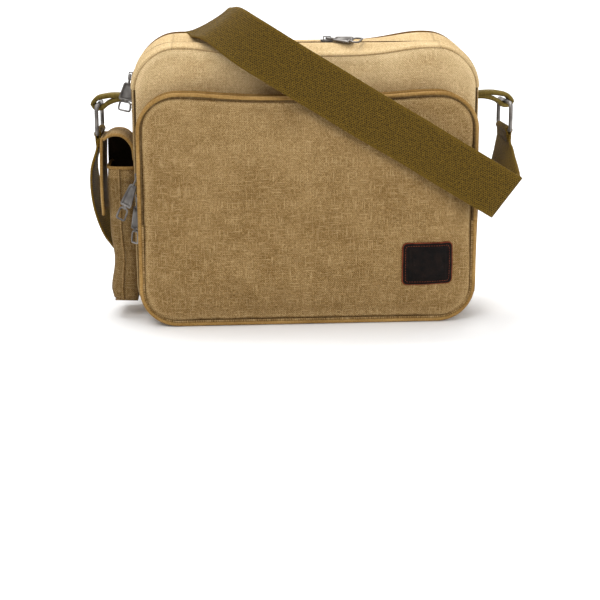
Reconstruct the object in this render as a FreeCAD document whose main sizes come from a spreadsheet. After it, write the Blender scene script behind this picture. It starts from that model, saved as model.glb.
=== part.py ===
import FreeCAD, Part
import math
import os
from FreeCAD import Placement, Rotation, Vector

# Canvas messenger bag, in millimetres.  +X is to the right when facing the front of the
# bag, the front faces -Y and +Z is up.  The origin is on the ground under the middle of the main compartment.
#
# The bag is three boxes one behind the other.  The main compartment opens at the top between two
# leaves; the front and the back compartment each open by a flap that folds down once its zip is run
# round.  A webbing strap hangs between two metal rings on the sides.

DIMENSIONS = (
    ("main_half", 173),        # half of the main compartment's width
    ("main_top", 277),         # height of the main walls
    ("main_corner_low", 38),
    ("main_corner_high", 40),
    ("canvas", 2.5),           # thickness of a lined canvas wall
    ("front_wall_y", -32),     # outer face of the wall between the front and the main compartment
    ("back_wall_y", 36),
    ("main_zip_y", -4),
    ("leaf_gap", 0.3),         # air between the top leaves and the wall edges they lie on
    ("tooth_row", 3),          # width of one row of zip teeth with its tape edge
    ("tooth_gap", 2),          # gap between the two rows, where the slider's web runs
    ("tooth_thick", 2.8),
    ("box_half", 163.4),       # half width of the front and back panels inside their piping
    ("box_low", 6),
    ("box_high", 230.4),
    ("box_corner", 33),
    ("side_thick", 2),         # gusset canvas round the front and back compartments
    ("front_face_y", -58),
    ("front_zip_y", -45),
    ("front_fold_z", 105),
    ("back_face_y", 54),
    ("back_zip_y", 45),
    ("back_fold_z", 95),
    ("fold_gap", 0.2),         # half of the slit between a fixed panel and its flap
    ("piping_radius", 1.5),
    ("slider_long", 13),
    ("slider_wide", 9),
    ("slider_plate", 2),
    ("slider_play", 0.4),
    ("slider_web", 1.2),
    ("pull_long", 40),
    ("pull_wide", 11),
    ("pull_thick", 1.4),
    ("strap_wide", 50),
    ("strap_thick", 2.4),
    ("ring_inside_wide", 52),
    ("ring_inside_high", 24),
    ("ring_wire", 4),
    ("ring_x", 210),
    ("ring_y", 12),
    ("ring_z", 203),
    ("loop_wide", 20),
    ("pocket_low", 20),
    ("pocket_mouth", 156),
    ("pocket_deep", 28),
    ("slip_pocket_deep", 10),
)

doc = FreeCAD.newDocument("messenger_bag")
sheet = doc.addObject("Spreadsheet::Sheet", "dims")
for row, (alias, value) in enumerate(DIMENSIONS, start=1):
    sheet.set(f"A{row}", str(value))
    sheet.setAlias(f"A{row}", alias)
doc.recompute()

subparts = []


def dim(alias):
    return float(sheet.get(alias))


def keep(item, label):
    """Name a finished sub-part; its label is its file's name."""
    item.Label = label
    subparts.append(item)
    return item


def filleted(corners):
    """Closed outline through (x, z, radius) corners: straight edges joined by tangent arcs."""
    count = len(corners)
    starts, ends, middles = [], [], []
    for index, (x, z, radius) in enumerate(corners):
        here = Vector(x, z, 0)
        before = Vector(*corners[index - 1][:2], 0)
        after = Vector(*corners[(index + 1) % count][:2], 0)
        towards = (before - here).normalize()
        away = (after - here).normalize()
        half_angle = towards.getAngle(away) / 2
        reach = radius / math.tan(half_angle)
        starts.append(here + towards * reach)
        ends.append(here + away * reach)
        bisector = (towards + away).normalize() if radius else Vector()
        middles.append(here + bisector * (radius / math.sin(half_angle) - radius))
    edges = []
    for index in range(count):
        following = (index + 1) % count
        if corners[index][2]:
            edges.append(Part.Arc(starts[index], middles[index], ends[index]))
        if (ends[index] - starts[following]).Length > 1e-6:
            edges.append(Part.LineSegment(ends[index], starts[following]))
    return edges


def rectangle(left, right, low, high, radius=0):
    corners = ((left, low), (right, low), (right, high), (left, high))
    return filleted([(x, z, radius) for x, z in corners])


def circle(x, z, radius):
    return [Part.Circle(Vector(x, z, 0), Vector(0, 0, 1), radius)]


def add_pad(body, loops, length, plane="XZ_Plane", offset=0):
    """Pad closed loops of a sketch on one of the body's own planes; from XZ it grows towards -Y."""
    number = len(body.Group)
    sketch = body.newObject("Sketcher::SketchObject", f"{body.Name}_outline{number}")
    planes = {feature.Role: feature for feature in body.Origin.OriginFeatures}
    sketch.AttachmentSupport = [(planes[plane], "")]
    sketch.MapMode = "FlatFace"
    sketch.AttachmentOffset = Placement(Vector(0, 0, offset), Rotation())
    for loop in loops:
        for edge in loop:
            sketch.addGeometry(edge, False)
    pad = body.newObject("PartDesign::Pad", f"{body.Name}_pad{number}")
    pad.Profile = sketch
    pad.setExpression("Length", length)
    doc.recompute()
    return pad


def panel(label, loops, length, back_y):
    """A cloth piece of one thickness, standing in the XZ plane with its rear face at back_y."""
    body = doc.addObject("PartDesign::Body", label)
    add_pad(body, loops, length)
    body.setExpression("Placement.Base.y", back_y)
    return keep(body, label)


def box(name, spans):
    """A Part::Box from three (low, high) spans; a span may hold numbers or sheet expressions."""
    block = doc.addObject("Part::Box", name)
    for side, axis, (low, high) in zip(("Length", "Width", "Height"), "xyz", spans):
        block.setExpression(side, f"({high}) - ({low})")
        block.setExpression(f"Placement.Base.{axis}", f"{low}")
    return block


def cylinder(name, radius, low, high, axis, centre):
    """A Part::Cylinder along x, y or z from low to high, centred on the other two coordinates."""
    rod = doc.addObject("Part::Cylinder", name)
    rod.Radius = radius
    rod.Height = high - low
    others = [letter for letter in "xyz" if letter != axis]
    place = dict(zip(others, centre))
    place[axis] = low
    turns = {"x": Rotation(Vector(0, 1, 0), 90), "y": Rotation(Vector(1, 0, 0), -90), "z": Rotation()}
    rod.Placement = Placement(Vector(place["x"], place["y"], place["z"]), turns[axis])
    return rod


def fuse(name, items):
    joined = doc.addObject("Part::MultiFuse", name)
    joined.Shapes = items
    return joined


def cut(name, base, tool):
    result = doc.addObject("Part::Cut", name)
    result.Base = base
    result.Tool = tool
    return result


def group(name, items):
    """Separate solids kept together as one sub-part."""
    compound = doc.addObject("Part::Compound", name)
    compound.Links = items
    return compound


def shaped(label, shape, placement=None):
    feature = doc.addObject("Part::Feature", label)
    feature.Shape = shape
    if placement:
        feature.Placement = placement
    return feature


def box_outline(offset):
    """Half width, low, high and corner radius of the front and back boxes, offset outwards."""
    return (dim("box_half") + offset, dim("box_low") - offset,
            dim("box_high") + offset, dim("box_corner") + offset)


def arch(inner, outer, cut_z):
    """Band round the upper part of a box, from one side over the top to the other."""
    half_out, _, high_out, radius_out = box_outline(outer)
    half_in, _, high_in, radius_in = box_outline(inner)
    return filleted([(-half_out, cut_z, 0), (-half_out, high_out, radius_out),
                     (half_out, high_out, radius_out), (half_out, cut_z, 0),
                     (half_in, cut_z, 0), (half_in, high_in, radius_in),
                     (-half_in, high_in, radius_in), (-half_in, cut_z, 0)])


def trough(inner, outer, cut_z):
    """Band round the lower part of a box, from one side under the bottom to the other."""
    half_out, low_out, _, radius_out = box_outline(outer)
    half_in, low_in, _, radius_in = box_outline(inner)
    return filleted([(-half_out, cut_z, 0), (-half_out, low_out, radius_out),
                     (half_out, low_out, radius_out), (half_out, cut_z, 0),
                     (half_in, cut_z, 0), (half_in, low_in, radius_in),
                     (-half_in, low_in, radius_in), (-half_in, cut_z, 0)])


def as_wire(edges, y):
    """An outline's edges as a wire standing in the XZ plane at depth y."""
    flat = Part.Wire(Part.__sortEdges__([edge.toShape() for edge in edges]))
    flat.Placement = Placement(Vector(0, y, 0), Rotation(Vector(1, 0, 0), 90))
    return flat


def tube(edges, y, radius):
    """A round tube along straight runs and tangent arcs, as one solid."""
    path = as_wire(edges, y)
    first = path.OrderedEdges[0]
    start = first.valueAt(first.FirstParameter)
    tangent = first.tangentAt(first.FirstParameter)
    disc = Part.Face(Part.Wire(Part.makeCircle(radius, start, tangent)))
    return path.makePipe(disc)


def make_main_compartment():
    half, top = dim("main_half"), dim("main_top")
    low_radius, high_radius = dim("main_corner_low"), dim("main_corner_high")
    wall = [(-half, 0, low_radius), (half, 0, low_radius),
            (half, top, high_radius), (-half, top, high_radius)]
    panel("main_front_wall", [filleted(wall)], "dims.canvas", "dims.front_wall_y + dims.canvas")
    panel("main_back_wall", [filleted(wall)], "dims.canvas", "dims.back_wall_y")

    canvas = dim("canvas")
    inner = half - canvas
    band_top = top + dim("leaf_gap") + canvas - high_radius
    band = filleted([(-half, band_top, 0), (-half, 0, low_radius), (half, 0, low_radius),
                     (half, band_top, 0), (inner, band_top, 0),
                     (inner, canvas, low_radius - canvas), (-inner, canvas, low_radius - canvas),
                     (-inner, band_top, 0)])
    panel("main_gusset", [band], "dims.back_wall_y - dims.front_wall_y - 2 * dims.canvas",
          "dims.back_wall_y - dims.canvas")


def quarter_bands(name, inner, outer, spans):
    """Quarter-round bands over both top corners, one pair for each (front, rear) span in y."""
    half, radius = dim("main_half"), dim("main_corner_high")
    centre_z = dim("main_top") + dim("leaf_gap") + dim("canvas") - radius
    pieces = []
    for side in (-1, 1):
        for front, rear in spans:
            start = Vector(side * (half - radius), front, centre_z)
            turn = 90 if side < 0 else 0
            sector = Part.makeCylinder(outer, rear - front, Vector(), Vector(0, 0, 1), 90)
            hollow = Part.makeCylinder(inner, rear - front, Vector(), Vector(0, 0, 1), 90)
            ring = sector.cut(hollow)
            ring.rotate(Vector(), Vector(0, 0, 1), turn)
            ring.rotate(Vector(), Vector(1, 0, 0), 90)
            ring.translate(start + Vector(0, rear - front, 0))
            pieces.append(ring)
    return keep(shaped(name, Part.makeCompound(pieces)), name)


def make_top_corners():
    radius, canvas = dim("main_corner_high"), dim("canvas")
    zip_y, gap, tooth = dim("main_zip_y"), dim("tooth_gap") / 2, dim("tooth_row")
    front_edge = dim("front_wall_y") + canvas
    back_edge = dim("back_wall_y") - canvas
    row_front, row_back = zip_y - gap - tooth, zip_y + gap + tooth
    quarter_bands("main_corner_strips", radius - canvas, radius,
                  [(front_edge, row_front), (row_back, back_edge)])
    proud = (dim("tooth_thick") - canvas) / 2
    quarter_bands("main_corner_zip_rows", radius - canvas - proud, radius + proud,
                  [(row_front, zip_y - gap), (zip_y + gap, row_back)])


def make_top_leaves():
    """The two canvas strips of the mouth, each with its row of teeth along the middle."""
    along = ("-dims.main_half + dims.main_corner_high + dims.fold_gap",
             "dims.main_half - dims.main_corner_high - dims.fold_gap")
    lift = "dims.main_top + dims.leaf_gap"
    cloth = (lift, f"{lift} + dims.canvas")
    proud = "(dims.tooth_thick - dims.canvas) / 2"
    teeth = (f"{lift} - {proud}", f"{lift} + dims.canvas + {proud}")
    row_front = "dims.main_zip_y - dims.tooth_gap / 2 - dims.tooth_row"
    row_back = "dims.main_zip_y + dims.tooth_gap / 2 + dims.tooth_row"
    front = [box("front_leaf_cloth", (along, ("dims.front_wall_y", row_front), cloth)),
             box("front_leaf_teeth", (along, (row_front, f"{row_front} + dims.tooth_row"), teeth))]
    back = [box("back_leaf_cloth", (along, (row_back, "dims.back_wall_y"), cloth)),
            box("back_leaf_teeth", (along, (f"{row_back} - dims.tooth_row", row_back), teeth))]
    keep(group("mouth_front_group", front), "mouth_front_leaf")
    keep(group("mouth_back_group", back), "mouth_back_leaf")


def make_zip_box(end, face_y, zip_y, wall_y, fold_z):
    """Front or back compartment: fixed gusset and lower panel, and the flap that folds down."""
    face, middle, wall, fold = dim(face_y), dim(zip_y), dim(wall_y), dim(fold_z)
    outwards = -1 if face < wall else 1
    gap, tooth = dim("tooth_gap") / 2, dim("tooth_row")
    slit, side, canvas = dim("fold_gap"), dim("side_thick"), dim("canvas")
    proud = (dim("tooth_thick") - side) / 2
    fixed_row = middle - outwards * (gap + tooth)
    moving_row = middle + outwards * (gap + tooth)

    def rear(first, second):
        return str(max(first, second))

    def depth(first, second):
        return str(abs(first - second))

    gusset = doc.addObject("PartDesign::Body", f"{end}_gusset")
    add_pad(gusset, [trough(0, side, fold - slit)], depth(face, wall), offset=-max(face, wall))
    add_pad(gusset, [arch(0, side, fold - slit)], depth(fixed_row, wall), offset=-max(fixed_row, wall))
    keep(gusset, f"{end}_gusset")
    panel(f"{end}_zip_fixed_row", [arch(-proud, side + proud, fold)],
          depth(fixed_row, middle - outwards * gap), rear(fixed_row, middle - outwards * gap))

    half, low, high, radius = box_outline(0)
    lower = filleted([(-half, low, radius), (half, low, radius),
                      (half, fold - slit, 0), (-half, fold - slit, 0)])
    upper = filleted([(-half, fold + slit, 0), (half, fold + slit, 0),
                      (half, high, radius), (-half, high, radius)])
    inside_face = face - outwards * canvas
    panel(f"{end}_panel_lower", [lower], "dims.canvas", rear(face, inside_face))
    panel(f"{end}_flap_panel", [upper], "dims.canvas", rear(face, inside_face))
    panel(f"{end}_flap_side", [arch(0, side, fold + slit)], depth(face, moving_row),
          rear(face, moving_row))
    panel(f"{end}_flap_zip_row", [arch(-proud, side + proud, fold + slit)],
          depth(moving_row, middle + outwards * gap), rear(moving_row, middle + outwards * gap))

    thick = dim("piping_radius")
    reach = side + thick + 0.05
    front_line = face - outwards * (thick - 0.5)
    wall_line = wall + outwards * (thick + 0.1)
    half, low, high, radius = box_outline(reach)
    loop = rectangle(-half, half, low, high, radius)
    low_run = filleted([(-half, fold - slit, 0), (-half, low, radius), (half, low, radius),
                        (half, fold - slit, 0)])
    high_run = filleted([(-half, fold + slit, 0), (-half, high, radius), (half, high, radius),
                         (half, fold + slit, 0)])
    fixed = Part.makeCompound([tube(loop, wall_line, thick), tube(low_run[:-1], front_line, thick)])
    keep(shaped(f"{end}_pipings", fixed), f"{end}_pipings")
    keep(shaped(f"{end}_flap_piping", tube(high_run[:-1], front_line, thick)), f"{end}_flap_piping")


def make_patch():
    patch = rectangle(93, 143, 42, 84, 5)
    panel("leather_patch", [patch], "1.8", "dims.front_face_y")


def make_phone_pocket():
    """Deep pocket on the left side; its flap's root arches out over the mouth."""
    side = "-dims.main_half"
    outer = box("pocket_outer", ((f"{side} - dims.pocket_deep", side), (-26, 30),
                                 ("dims.pocket_low", "dims.pocket_mouth")))
    inner = box("pocket_inner", ((f"{side} - dims.pocket_deep + 2", f"{side} + 1"), (-24, 28),
                                 ("dims.pocket_low + 2", "dims.pocket_mouth + 1")))
    keep(cut("pocket_shell", outer, inner), "left_pocket")

    root_x = -dim("main_half") - 0.1
    outer_x = root_x - dim("pocket_deep") - 4.4
    peak, hinge_z, band = 193, 186, 2
    arched = filleted([(root_x, 168, 0), (root_x - 1, 180, 6), (root_x - 14, peak, 6),
                       (outer_x + 3, peak, 3), (outer_x, hinge_z + 0.3, 0),
                       (outer_x + band, hinge_z + 0.3, 0), (outer_x + 4.6, peak - band, 2),
                       (root_x - 13.4, peak - band, 5), (root_x - 3, 180, 5),
                       (root_x - band, 168, 0)])
    body = doc.addObject("PartDesign::Body", "left_pocket_arch")
    add_pad(body, [arched], "50", offset=-27)
    keep(body, "left_pocket_arch")
    tail = rectangle(outer_x, outer_x + band, 108, hinge_z)
    flap = doc.addObject("PartDesign::Body", "left_pocket_flap")
    add_pad(flap, [tail], "50", offset=-27)
    keep(flap, "left_pocket_flap")


def make_slip_pocket():
    side = "dims.main_half"
    outer = box("slip_outer", ((side, f"{side} + dims.slip_pocket_deep"), (-27, 31), (22, 160)))
    inner = box("slip_inner", ((f"{side} - 1", f"{side} + dims.slip_pocket_deep - 1.8"), (-25, 29),
                               (24, 161)))
    keep(cut("slip_shell", outer, inner), "right_pocket")


def make_loop_and_ring(label, side):
    """Rolled webbing loop sewn to the gusset, and the rectangular wire ring that hangs in it."""
    wire = dim("ring_wire") / 2
    wide = dim("ring_inside_wide") / 2 + wire
    high = dim("ring_inside_high") / 2 + wire
    centre_x, centre_y, centre_z = side * dim("ring_x"), dim("ring_y"), dim("ring_z")
    bar_z = centre_z + high
    root, half_loop = dim("main_half"), dim("loop_wide") / 2
    tip, thick_below, thick_above = abs(centre_x) + 9, 6, 14
    left, right = sorted((side * root, side * tip))
    flank = rectangle(left, right, bar_z - thick_below, bar_z + thick_above, 6)
    body = doc.addObject("PartDesign::Body", f"{label}_loop")
    add_pad(body, [flank, circle(centre_x, bar_z, wire + 0.4)], "dims.loop_wide",
            offset=-(centre_y + half_loop))
    keep(body, f"{label}_loop")

    outline = rectangle(-wide, wide, -high, high, 5)
    ring = tube(outline, 0, wire)
    keep(shaped(f"{label}_ring", ring,
                Placement(Vector(centre_x, centre_y, centre_z), Rotation(Vector(0, 0, 1), 90))),
         f"{label}_ring")


def slider_solid(name, length):
    """Slider in its own frame: x across the rows, -y outwards from the rows' face, z along them."""
    wide, plate = dim("slider_wide") / 2, dim("slider_plate")
    play, rows, web = dim("slider_play"), dim("tooth_thick"), dim("slider_web") / 2
    half, bridge, bar = length / 2, 2.4, 1
    shield = filleted([(-wide * 0.75, -half, 1.5), (wide * 0.75, -half, 1.5),
                       (wide, half * 0.4, 2), (wide * 0.8, half, 2),
                       (-wide * 0.8, half, 2), (-wide, half * 0.4, 2)])
    spine = rectangle(-web, web, -half * 0.6, half * 0.6)
    layers = (
        (shield, plate, -play),
        (shield, plate, rows + play + plate),
        (spine, rows + 2 * play, rows + play),
        (rectangle(-bar, bar, -4, -3), bridge, -play - plate),
        (rectangle(-bar, bar, 3, 4), bridge, -play - plate),
        (rectangle(-bar, bar, -4, 4, 0.9), bar, -play - plate - bridge),
    )
    solids = []
    for loop, thickness, rear in layers:
        face = Part.Face(as_wire(loop, rear))
        solids.append(face.extrude(Vector(0, -thickness, 0)))
    joined = solids[0].multiFuse(solids[1:]).removeSplitter()
    return joined.Solids[0] if len(joined.Solids) == 1 else joined


def pull_solid():
    """Pull with its eye bar on the origin, hanging along -z; it loops under the slider's bridge."""
    long, wide, thick = dim("pull_long"), dim("pull_wide") / 2, dim("pull_thick")
    bar, eye, neck = thick / 2, 1.9, 3.4
    outline = filleted([(-neck, bar, 0.6), (neck, bar, 0.6), (neck, -9, 2), (wide, -28, 3),
                        (wide, -long, 2.6), (-wide, -long, 2.6), (-wide, -28, 3), (-neck, -9, 2)])
    opening = filleted([(-eye, -bar, 0), (eye, -bar, 0), (eye, -8, 1), (-eye, -8, 1)])
    window = filleted([(-2, -12, 0.6), (2, -12, 0.6), (wide - 1.9, -28, 0.6), (1.9 - wide, -28, 0.6)])
    slot = rectangle(2.2 - wide, wide - 2.2, -long + 2.2, -long + 8.4, 1.2)
    plate = Part.Face(as_wire(outline, bar)).extrude(Vector(0, -thick, 0))
    for hole in (opening, window, slot):
        plate = plate.cut(Part.Face(as_wire(hole, bar + 1)).extrude(Vector(0, -thick - 2, 0)))
    return plate


def make_zip_slider(label, centre, across, inwards, along, length, hang_angle):
    """Slider and pull; across, inwards and along are the world directions of the slider's axes.
    The pull is swung outwards by hang_angle about its eye bar."""
    place = Placement(centre, Rotation(across, inwards, along, "ZXY"))
    keep(shaped(f"{label}_slider", slider_solid(label, length), place), f"{label}_slider")
    lever = -dim("slider_play") - dim("slider_plate") - 1.2
    eye = place.multVec(Vector(0, lever, 0))
    swung = place.Rotation.multiply(Rotation(Vector(1, 0, 0), -hang_angle))
    keep(shaped(f"{label}_pull", pull_solid(), Placement(eye, swung)), f"{label}_pull")
    print(label, "eye bar at", [round(value, 3) for value in eye])


def make_main_and_front_sliders():
    right, ahead, up = Vector(1, 0, 0), Vector(0, 1, 0), Vector(0, 0, 1)
    long = dim("slider_long")
    row_face = dim("box_half") + dim("side_thick") + (dim("tooth_thick") - dim("side_thick")) / 2
    front_y, back_y = dim("front_zip_y"), dim("back_zip_y")
    make_zip_slider("front_upper", Vector(-row_face, front_y, 150), -ahead, right, up, long, 16)
    make_zip_slider("front_lower", Vector(-row_face, front_y, 129), -ahead, right, up, long, 0)
    make_zip_slider("back", Vector(row_face, back_y, 150), ahead, -right, up, long, 0)

    leaf_face = dim("main_top") + dim("leaf_gap") + dim("canvas") + 0.15
    make_zip_slider("main_top", Vector(22, dim("main_zip_y"), leaf_face), ahead, -up, -right, long, 0)
    angle = math.radians(9)
    outwards = Vector(-math.cos(angle), 0, math.sin(angle))
    travel = Vector(math.sin(angle), 0, math.cos(angle))
    radius = dim("main_corner_high")
    centre = Vector(-dim("main_half") + radius, dim("main_zip_y"),
                    dim("main_top") + dim("leaf_gap") + dim("canvas") - radius)
    make_zip_slider("main_left", centre + outwards * (radius + 0.15), -ahead, -outwards, travel,
                    9, 0)


def make_front_organizer():
    """Pockets sewn on the wall inside the front compartment, in a bound frame."""
    wall = "dims.front_wall_y"
    panel("front_organizer_panel", [rectangle(-146, 146, 18, 214, 12)], "1.6", wall)
    panel("front_organizer_binding",
          [rectangle(-151, 151, 13, 219, 16), rectangle(-146.2, 146.2, 17.8, 214.2, 12)], "2.2", wall)
    rows = [box("card_row_low", ((26, 138), (f"{wall} - 3.4", f"{wall} - 1.6"), (24, 92))),
            box("card_row_high", ((26, 138), (f"{wall} - 3.4", f"{wall} - 1.6"), (94, 152)))]
    keep(group("card_rows", rows), "front_card_rows")
    panel("front_zip_pocket", [rectangle(-136, 8, 24, 138, 6)], "1.8", f"{wall} - 1.6")
    slider = box("front_pocket_slider_block", ((-126, -117), (f"{wall} - 6.2", f"{wall} - 3.8"), (122, 129)))
    tongue = box("front_pocket_slider_tongue",
                 ((-117, -100), (f"{wall} - 6.2", f"{wall} - 5.0"), (123.6, 127.4)))
    keep(fuse("front_pocket_slider_fused", [slider, tongue]), "front_pocket_slider")


def make_flap_pocket():
    """Zip pocket on the inner side of the front flap, with its own small slider."""
    inside = "dims.front_face_y + dims.canvas"
    panel("flap_zip_pocket", [rectangle(-142, 142, 116, 216, 10)], "1.8", f"{inside} + 1.8")
    slider = box("flap_slider_block", ((118, 127), (f"{inside} + 2.2", f"{inside} + 4.6"), (196, 203)))
    tongue = box("flap_slider_tongue",
                 ((101, 118), (f"{inside} + 3.4", f"{inside} + 4.6"), (197.6, 201.4)))
    keep(fuse("flap_slider_fused", [slider, tongue]), "flap_pocket_slider")


def make_back_organizer():
    """Pockets sewn on the wall inside the back compartment."""
    wall = "dims.back_wall_y"
    rows = [box(f"back_row_{name}", ((-100, 138), (wall, f"{wall} + {thick}"), (low, high)))
            for name, low, high, thick in (("low", 18, 66, 3.4), ("middle", 68, 108, 2.6),
                                           ("high", 110, 148, 1.8))]
    pens = box("back_pen_column", ((-138, -102), (wall, f"{wall} + 2.8"), (18, 148)))
    keep(group("back_rows", rows + [pens]), "back_organizer_rows")
    panel("back_organizer_binding",
          [rectangle(-146, 146, 12, 222, 14), rectangle(-141, 141, 16, 217, 10)], "2.2",
          f"{wall} + 2.2")
    panel("back_zip_pocket", [rectangle(-138, 138, 152, 214, 6)], "1.8", f"{wall} + 1.8")
    slider = box("back_pocket_slider_block", ((118, 127), (f"{wall} + 2.2", f"{wall} + 4.6"), (196, 203)))
    tongue = box("back_pocket_slider_tongue",
                 ((101, 118), (f"{wall} + 3.4", f"{wall} + 4.6"), (197.6, 201.4)))
    keep(fuse("back_pocket_slider_fused", [slider, tongue]), "back_pocket_slider")


def make_key_clip():
    """Webbing tab with a round ring, a small hook hung on it, and the hook's sprung gate."""
    x, y = -100, -41
    tab = box("key_tab_block", ((x - 5, x + 5), (y - 3, -33.6), (196.4, 213.8)))
    slot = box("key_tab_slot", ((x - 6, x + 6), (y - 1.8, y + 1.8), (197.8, 203.2)))
    keep(cut("key_tab_cut", tab, slot), "key_tab")
    ring = doc.addObject("Part::Torus", "key_ring")
    ring.Radius1 = 9
    ring.Radius2 = 1.2
    ring.Placement = Placement(Vector(x, y, 192), Rotation(Vector(1, 0, 0), 90))
    keep(ring, "key_ring")

    eye = box("hook_eye_block", ((x - 2, x + 2), (y - 3, y + 3), (177.5, 186.5)))
    eye_bore = cylinder("hook_eye_bore", 1.75, x - 3, x + 3, "x", (y, 183))
    top = cut("hook_eye", eye, eye_bore)
    stem = box("hook_stem", ((x - 1.6, x + 1.6), (y - 1.6, y + 1.6), (168, 178)))
    loop = cut("hook_loop", cylinder("hook_loop_outer", 11, y - 1.6, y + 1.6, "y", (x, 159)),
               cylinder("hook_loop_inner", 7.8, y - 2, y + 2, "y", (x, 159)))
    gap = box("hook_gap", ((x + 5, x + 12), (y - 2, y + 2), (153, 165)))
    keep(cut("hook_cut", fuse("hook_fused", [top, stem, loop]), gap), "key_hook")
    gate = box("key_gate", ((x + 7.6, x + 9.8), (y - 1.4, y + 1.4), (153.6, 164.6)))
    keep(gate, "key_hook_gate")


def ribbon(stations, wide, thick):
    """Flat webbing through (point, width direction) stations, as one solid."""
    profiles = []
    points = [point for point, _ in stations]
    for index, (point, across) in enumerate(stations):
        ahead = points[min(index + 1, len(points) - 1)] - points[max(index - 1, 0)]
        across = (across - ahead * (across.dot(ahead) / ahead.dot(ahead))).normalize()
        normal = ahead.cross(across).normalize()
        edge, skin = across * (wide / 2), normal * (thick / 2)
        corners = [point - edge - skin, point + edge - skin, point + edge + skin, point - edge + skin]
        profiles.append(Part.makePolygon(corners + corners[:1]))
    return Part.makeLoft(profiles, True, True)


# Stations of the strap's two slack runs: point on the centre line, direction across the webbing.
FRONT_RUN = (
    ((-95, 1, 301), (0.87, 0.00, 0.49)),
    ((-83, -32, 300), (0.75, 0.10, 0.62)),
    ((-60, -56, 284), (0.55, 0.05, 0.83)),
    ((-20, -70, 258), (0.49, 0.00, 0.87)),
    ((60, -74, 211), (0.49, 0.00, 0.87)),
    ((140, -75, 163), (0.50, 0.00, 0.86)),
    ((182, -77, 138), (0.55, 0.00, 0.83)),
    ((193, -73, 131), (0.60, 0.00, 0.80)),
    ((196, -61, 132), (0.60, 0.00, 0.80)),
    ((202, -36, 140), (0.55, -0.35, 0.76)),
    ((207, -12, 154), (0.30, -0.75, 0.60)),
    ((210, 9, 168), (0.10, -0.97, 0.15)),
    ((210, 12, 178), (0.00, -1.00, 0.00)),
    ((210, 12, 185), (0.00, -1.00, 0.00)),
)
BACK_RUN = (
    ((-96, 8, 301), (0.87, 0.00, 0.49)),
    ((-101, 40, 296), (0.90, -0.10, 0.42)),
    ((-110, 68, 276), (1.00, 0.00, 0.15)),
    ((-118, 74, 240), (1.00, 0.00, 0.00)),
    ((-127, 75, 180), (1.00, 0.00, 0.00)),
    ((-140, 75, 122), (0.97, 0.00, 0.20)),
    ((-160, 74, 84), (0.80, 0.00, 0.60)),
    ((-186, 66, 70), (0.30, 0.40, 0.85)),
    ((-206, 50, 84), (0.05, 0.80, 0.60)),
    ((-219, 30, 122), (0.05, 0.97, 0.25)),
    ((-218, 15, 156), (0.00, 1.00, 0.00)),
    ((-211, 12, 176), (0.00, 1.00, 0.00)),
    ((-210, 12, 185), (0.00, 1.00, 0.00)),
)


def make_strap():
    wide, thick = dim("strap_wide"), dim("strap_thick")
    for label, route in (("strap_front_run", FRONT_RUN), ("strap_back_run", BACK_RUN)):
        stations = [(Vector(*point), Vector(*across)) for point, across in route]
        length = sum((second[0] - first[0]).Length for first, second in zip(stations, stations[1:]))
        print(label, "length", round(length, 1))
        keep(shaped(label, ribbon(stations, wide, thick)), label)


def check_and_write():
    doc.recompute()
    for item in doc.Objects:
        if {"Invalid", "Error"} & set(item.State):
            raise RuntimeError(f"{item.Label} failed to compute: {item.State}")
    for item in subparts:
        if item.Shape.isNull() or not item.Shape.isValid() or not item.Shape.Solids:
            raise RuntimeError(f"{item.Label} has no valid solid")
    os.makedirs("parts", exist_ok=True)
    for item in subparts:
        item.Shape.exportStep(f"parts/{item.Label}.step")
    print(len(subparts), "sub-parts written")


make_main_compartment()
make_top_corners()
make_top_leaves()
make_zip_box("front", "front_face_y", "front_zip_y", "front_wall_y", "front_fold_z")
make_zip_box("back", "back_face_y", "back_zip_y", "back_wall_y", "back_fold_z")
make_patch()
make_phone_pocket()
make_slip_pocket()
make_loop_and_ring("left", -1)
make_loop_and_ring("right", 1)
make_main_and_front_sliders()
make_front_organizer()
make_flap_pocket()
make_back_organizer()
make_key_clip()
make_strap()
check_and_write()
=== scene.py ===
import math
import bpy
import numpy as np
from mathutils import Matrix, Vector
from mathutils.bvhtree import BVHTree


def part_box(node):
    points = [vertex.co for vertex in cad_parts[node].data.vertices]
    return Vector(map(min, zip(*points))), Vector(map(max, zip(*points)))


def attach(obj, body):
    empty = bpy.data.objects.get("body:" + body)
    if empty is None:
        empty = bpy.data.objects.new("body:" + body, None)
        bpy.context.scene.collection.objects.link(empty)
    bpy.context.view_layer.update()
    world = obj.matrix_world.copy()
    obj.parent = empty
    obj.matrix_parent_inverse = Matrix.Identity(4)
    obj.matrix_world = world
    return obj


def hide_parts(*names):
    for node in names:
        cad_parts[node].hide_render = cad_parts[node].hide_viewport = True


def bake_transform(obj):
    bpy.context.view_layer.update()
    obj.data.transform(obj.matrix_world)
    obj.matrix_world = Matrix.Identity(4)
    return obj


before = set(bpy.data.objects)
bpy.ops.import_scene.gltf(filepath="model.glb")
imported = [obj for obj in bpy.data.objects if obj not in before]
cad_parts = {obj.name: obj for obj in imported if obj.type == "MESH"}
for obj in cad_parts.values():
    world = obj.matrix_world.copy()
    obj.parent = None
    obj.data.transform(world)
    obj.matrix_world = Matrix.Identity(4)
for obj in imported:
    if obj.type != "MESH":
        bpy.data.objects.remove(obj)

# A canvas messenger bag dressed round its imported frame.  Lengths in this script are millimetres and
# become metres when a mesh is made.  +X is to the right, the front faces -Y and +Z is up.
MM = 0.001
STRAP_HALF_WIDTH, STRAP_THICK = 24.6, 2.3
RING_X, RING_Y, RING_BAR_Z = 210, 12, 189  # lower bars of the two strap rings
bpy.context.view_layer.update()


def span(node):
    """A CAD node's lowest and highest corners, in millimetres."""
    low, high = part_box(node)
    return np.array(low) / MM, np.array(high) / MM


def smooth(value):
    """0 below 0, 1 above 1 and an S-curve between."""
    t = np.clip(value, 0, 1)
    return t * t * (3 - 2 * t)


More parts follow.
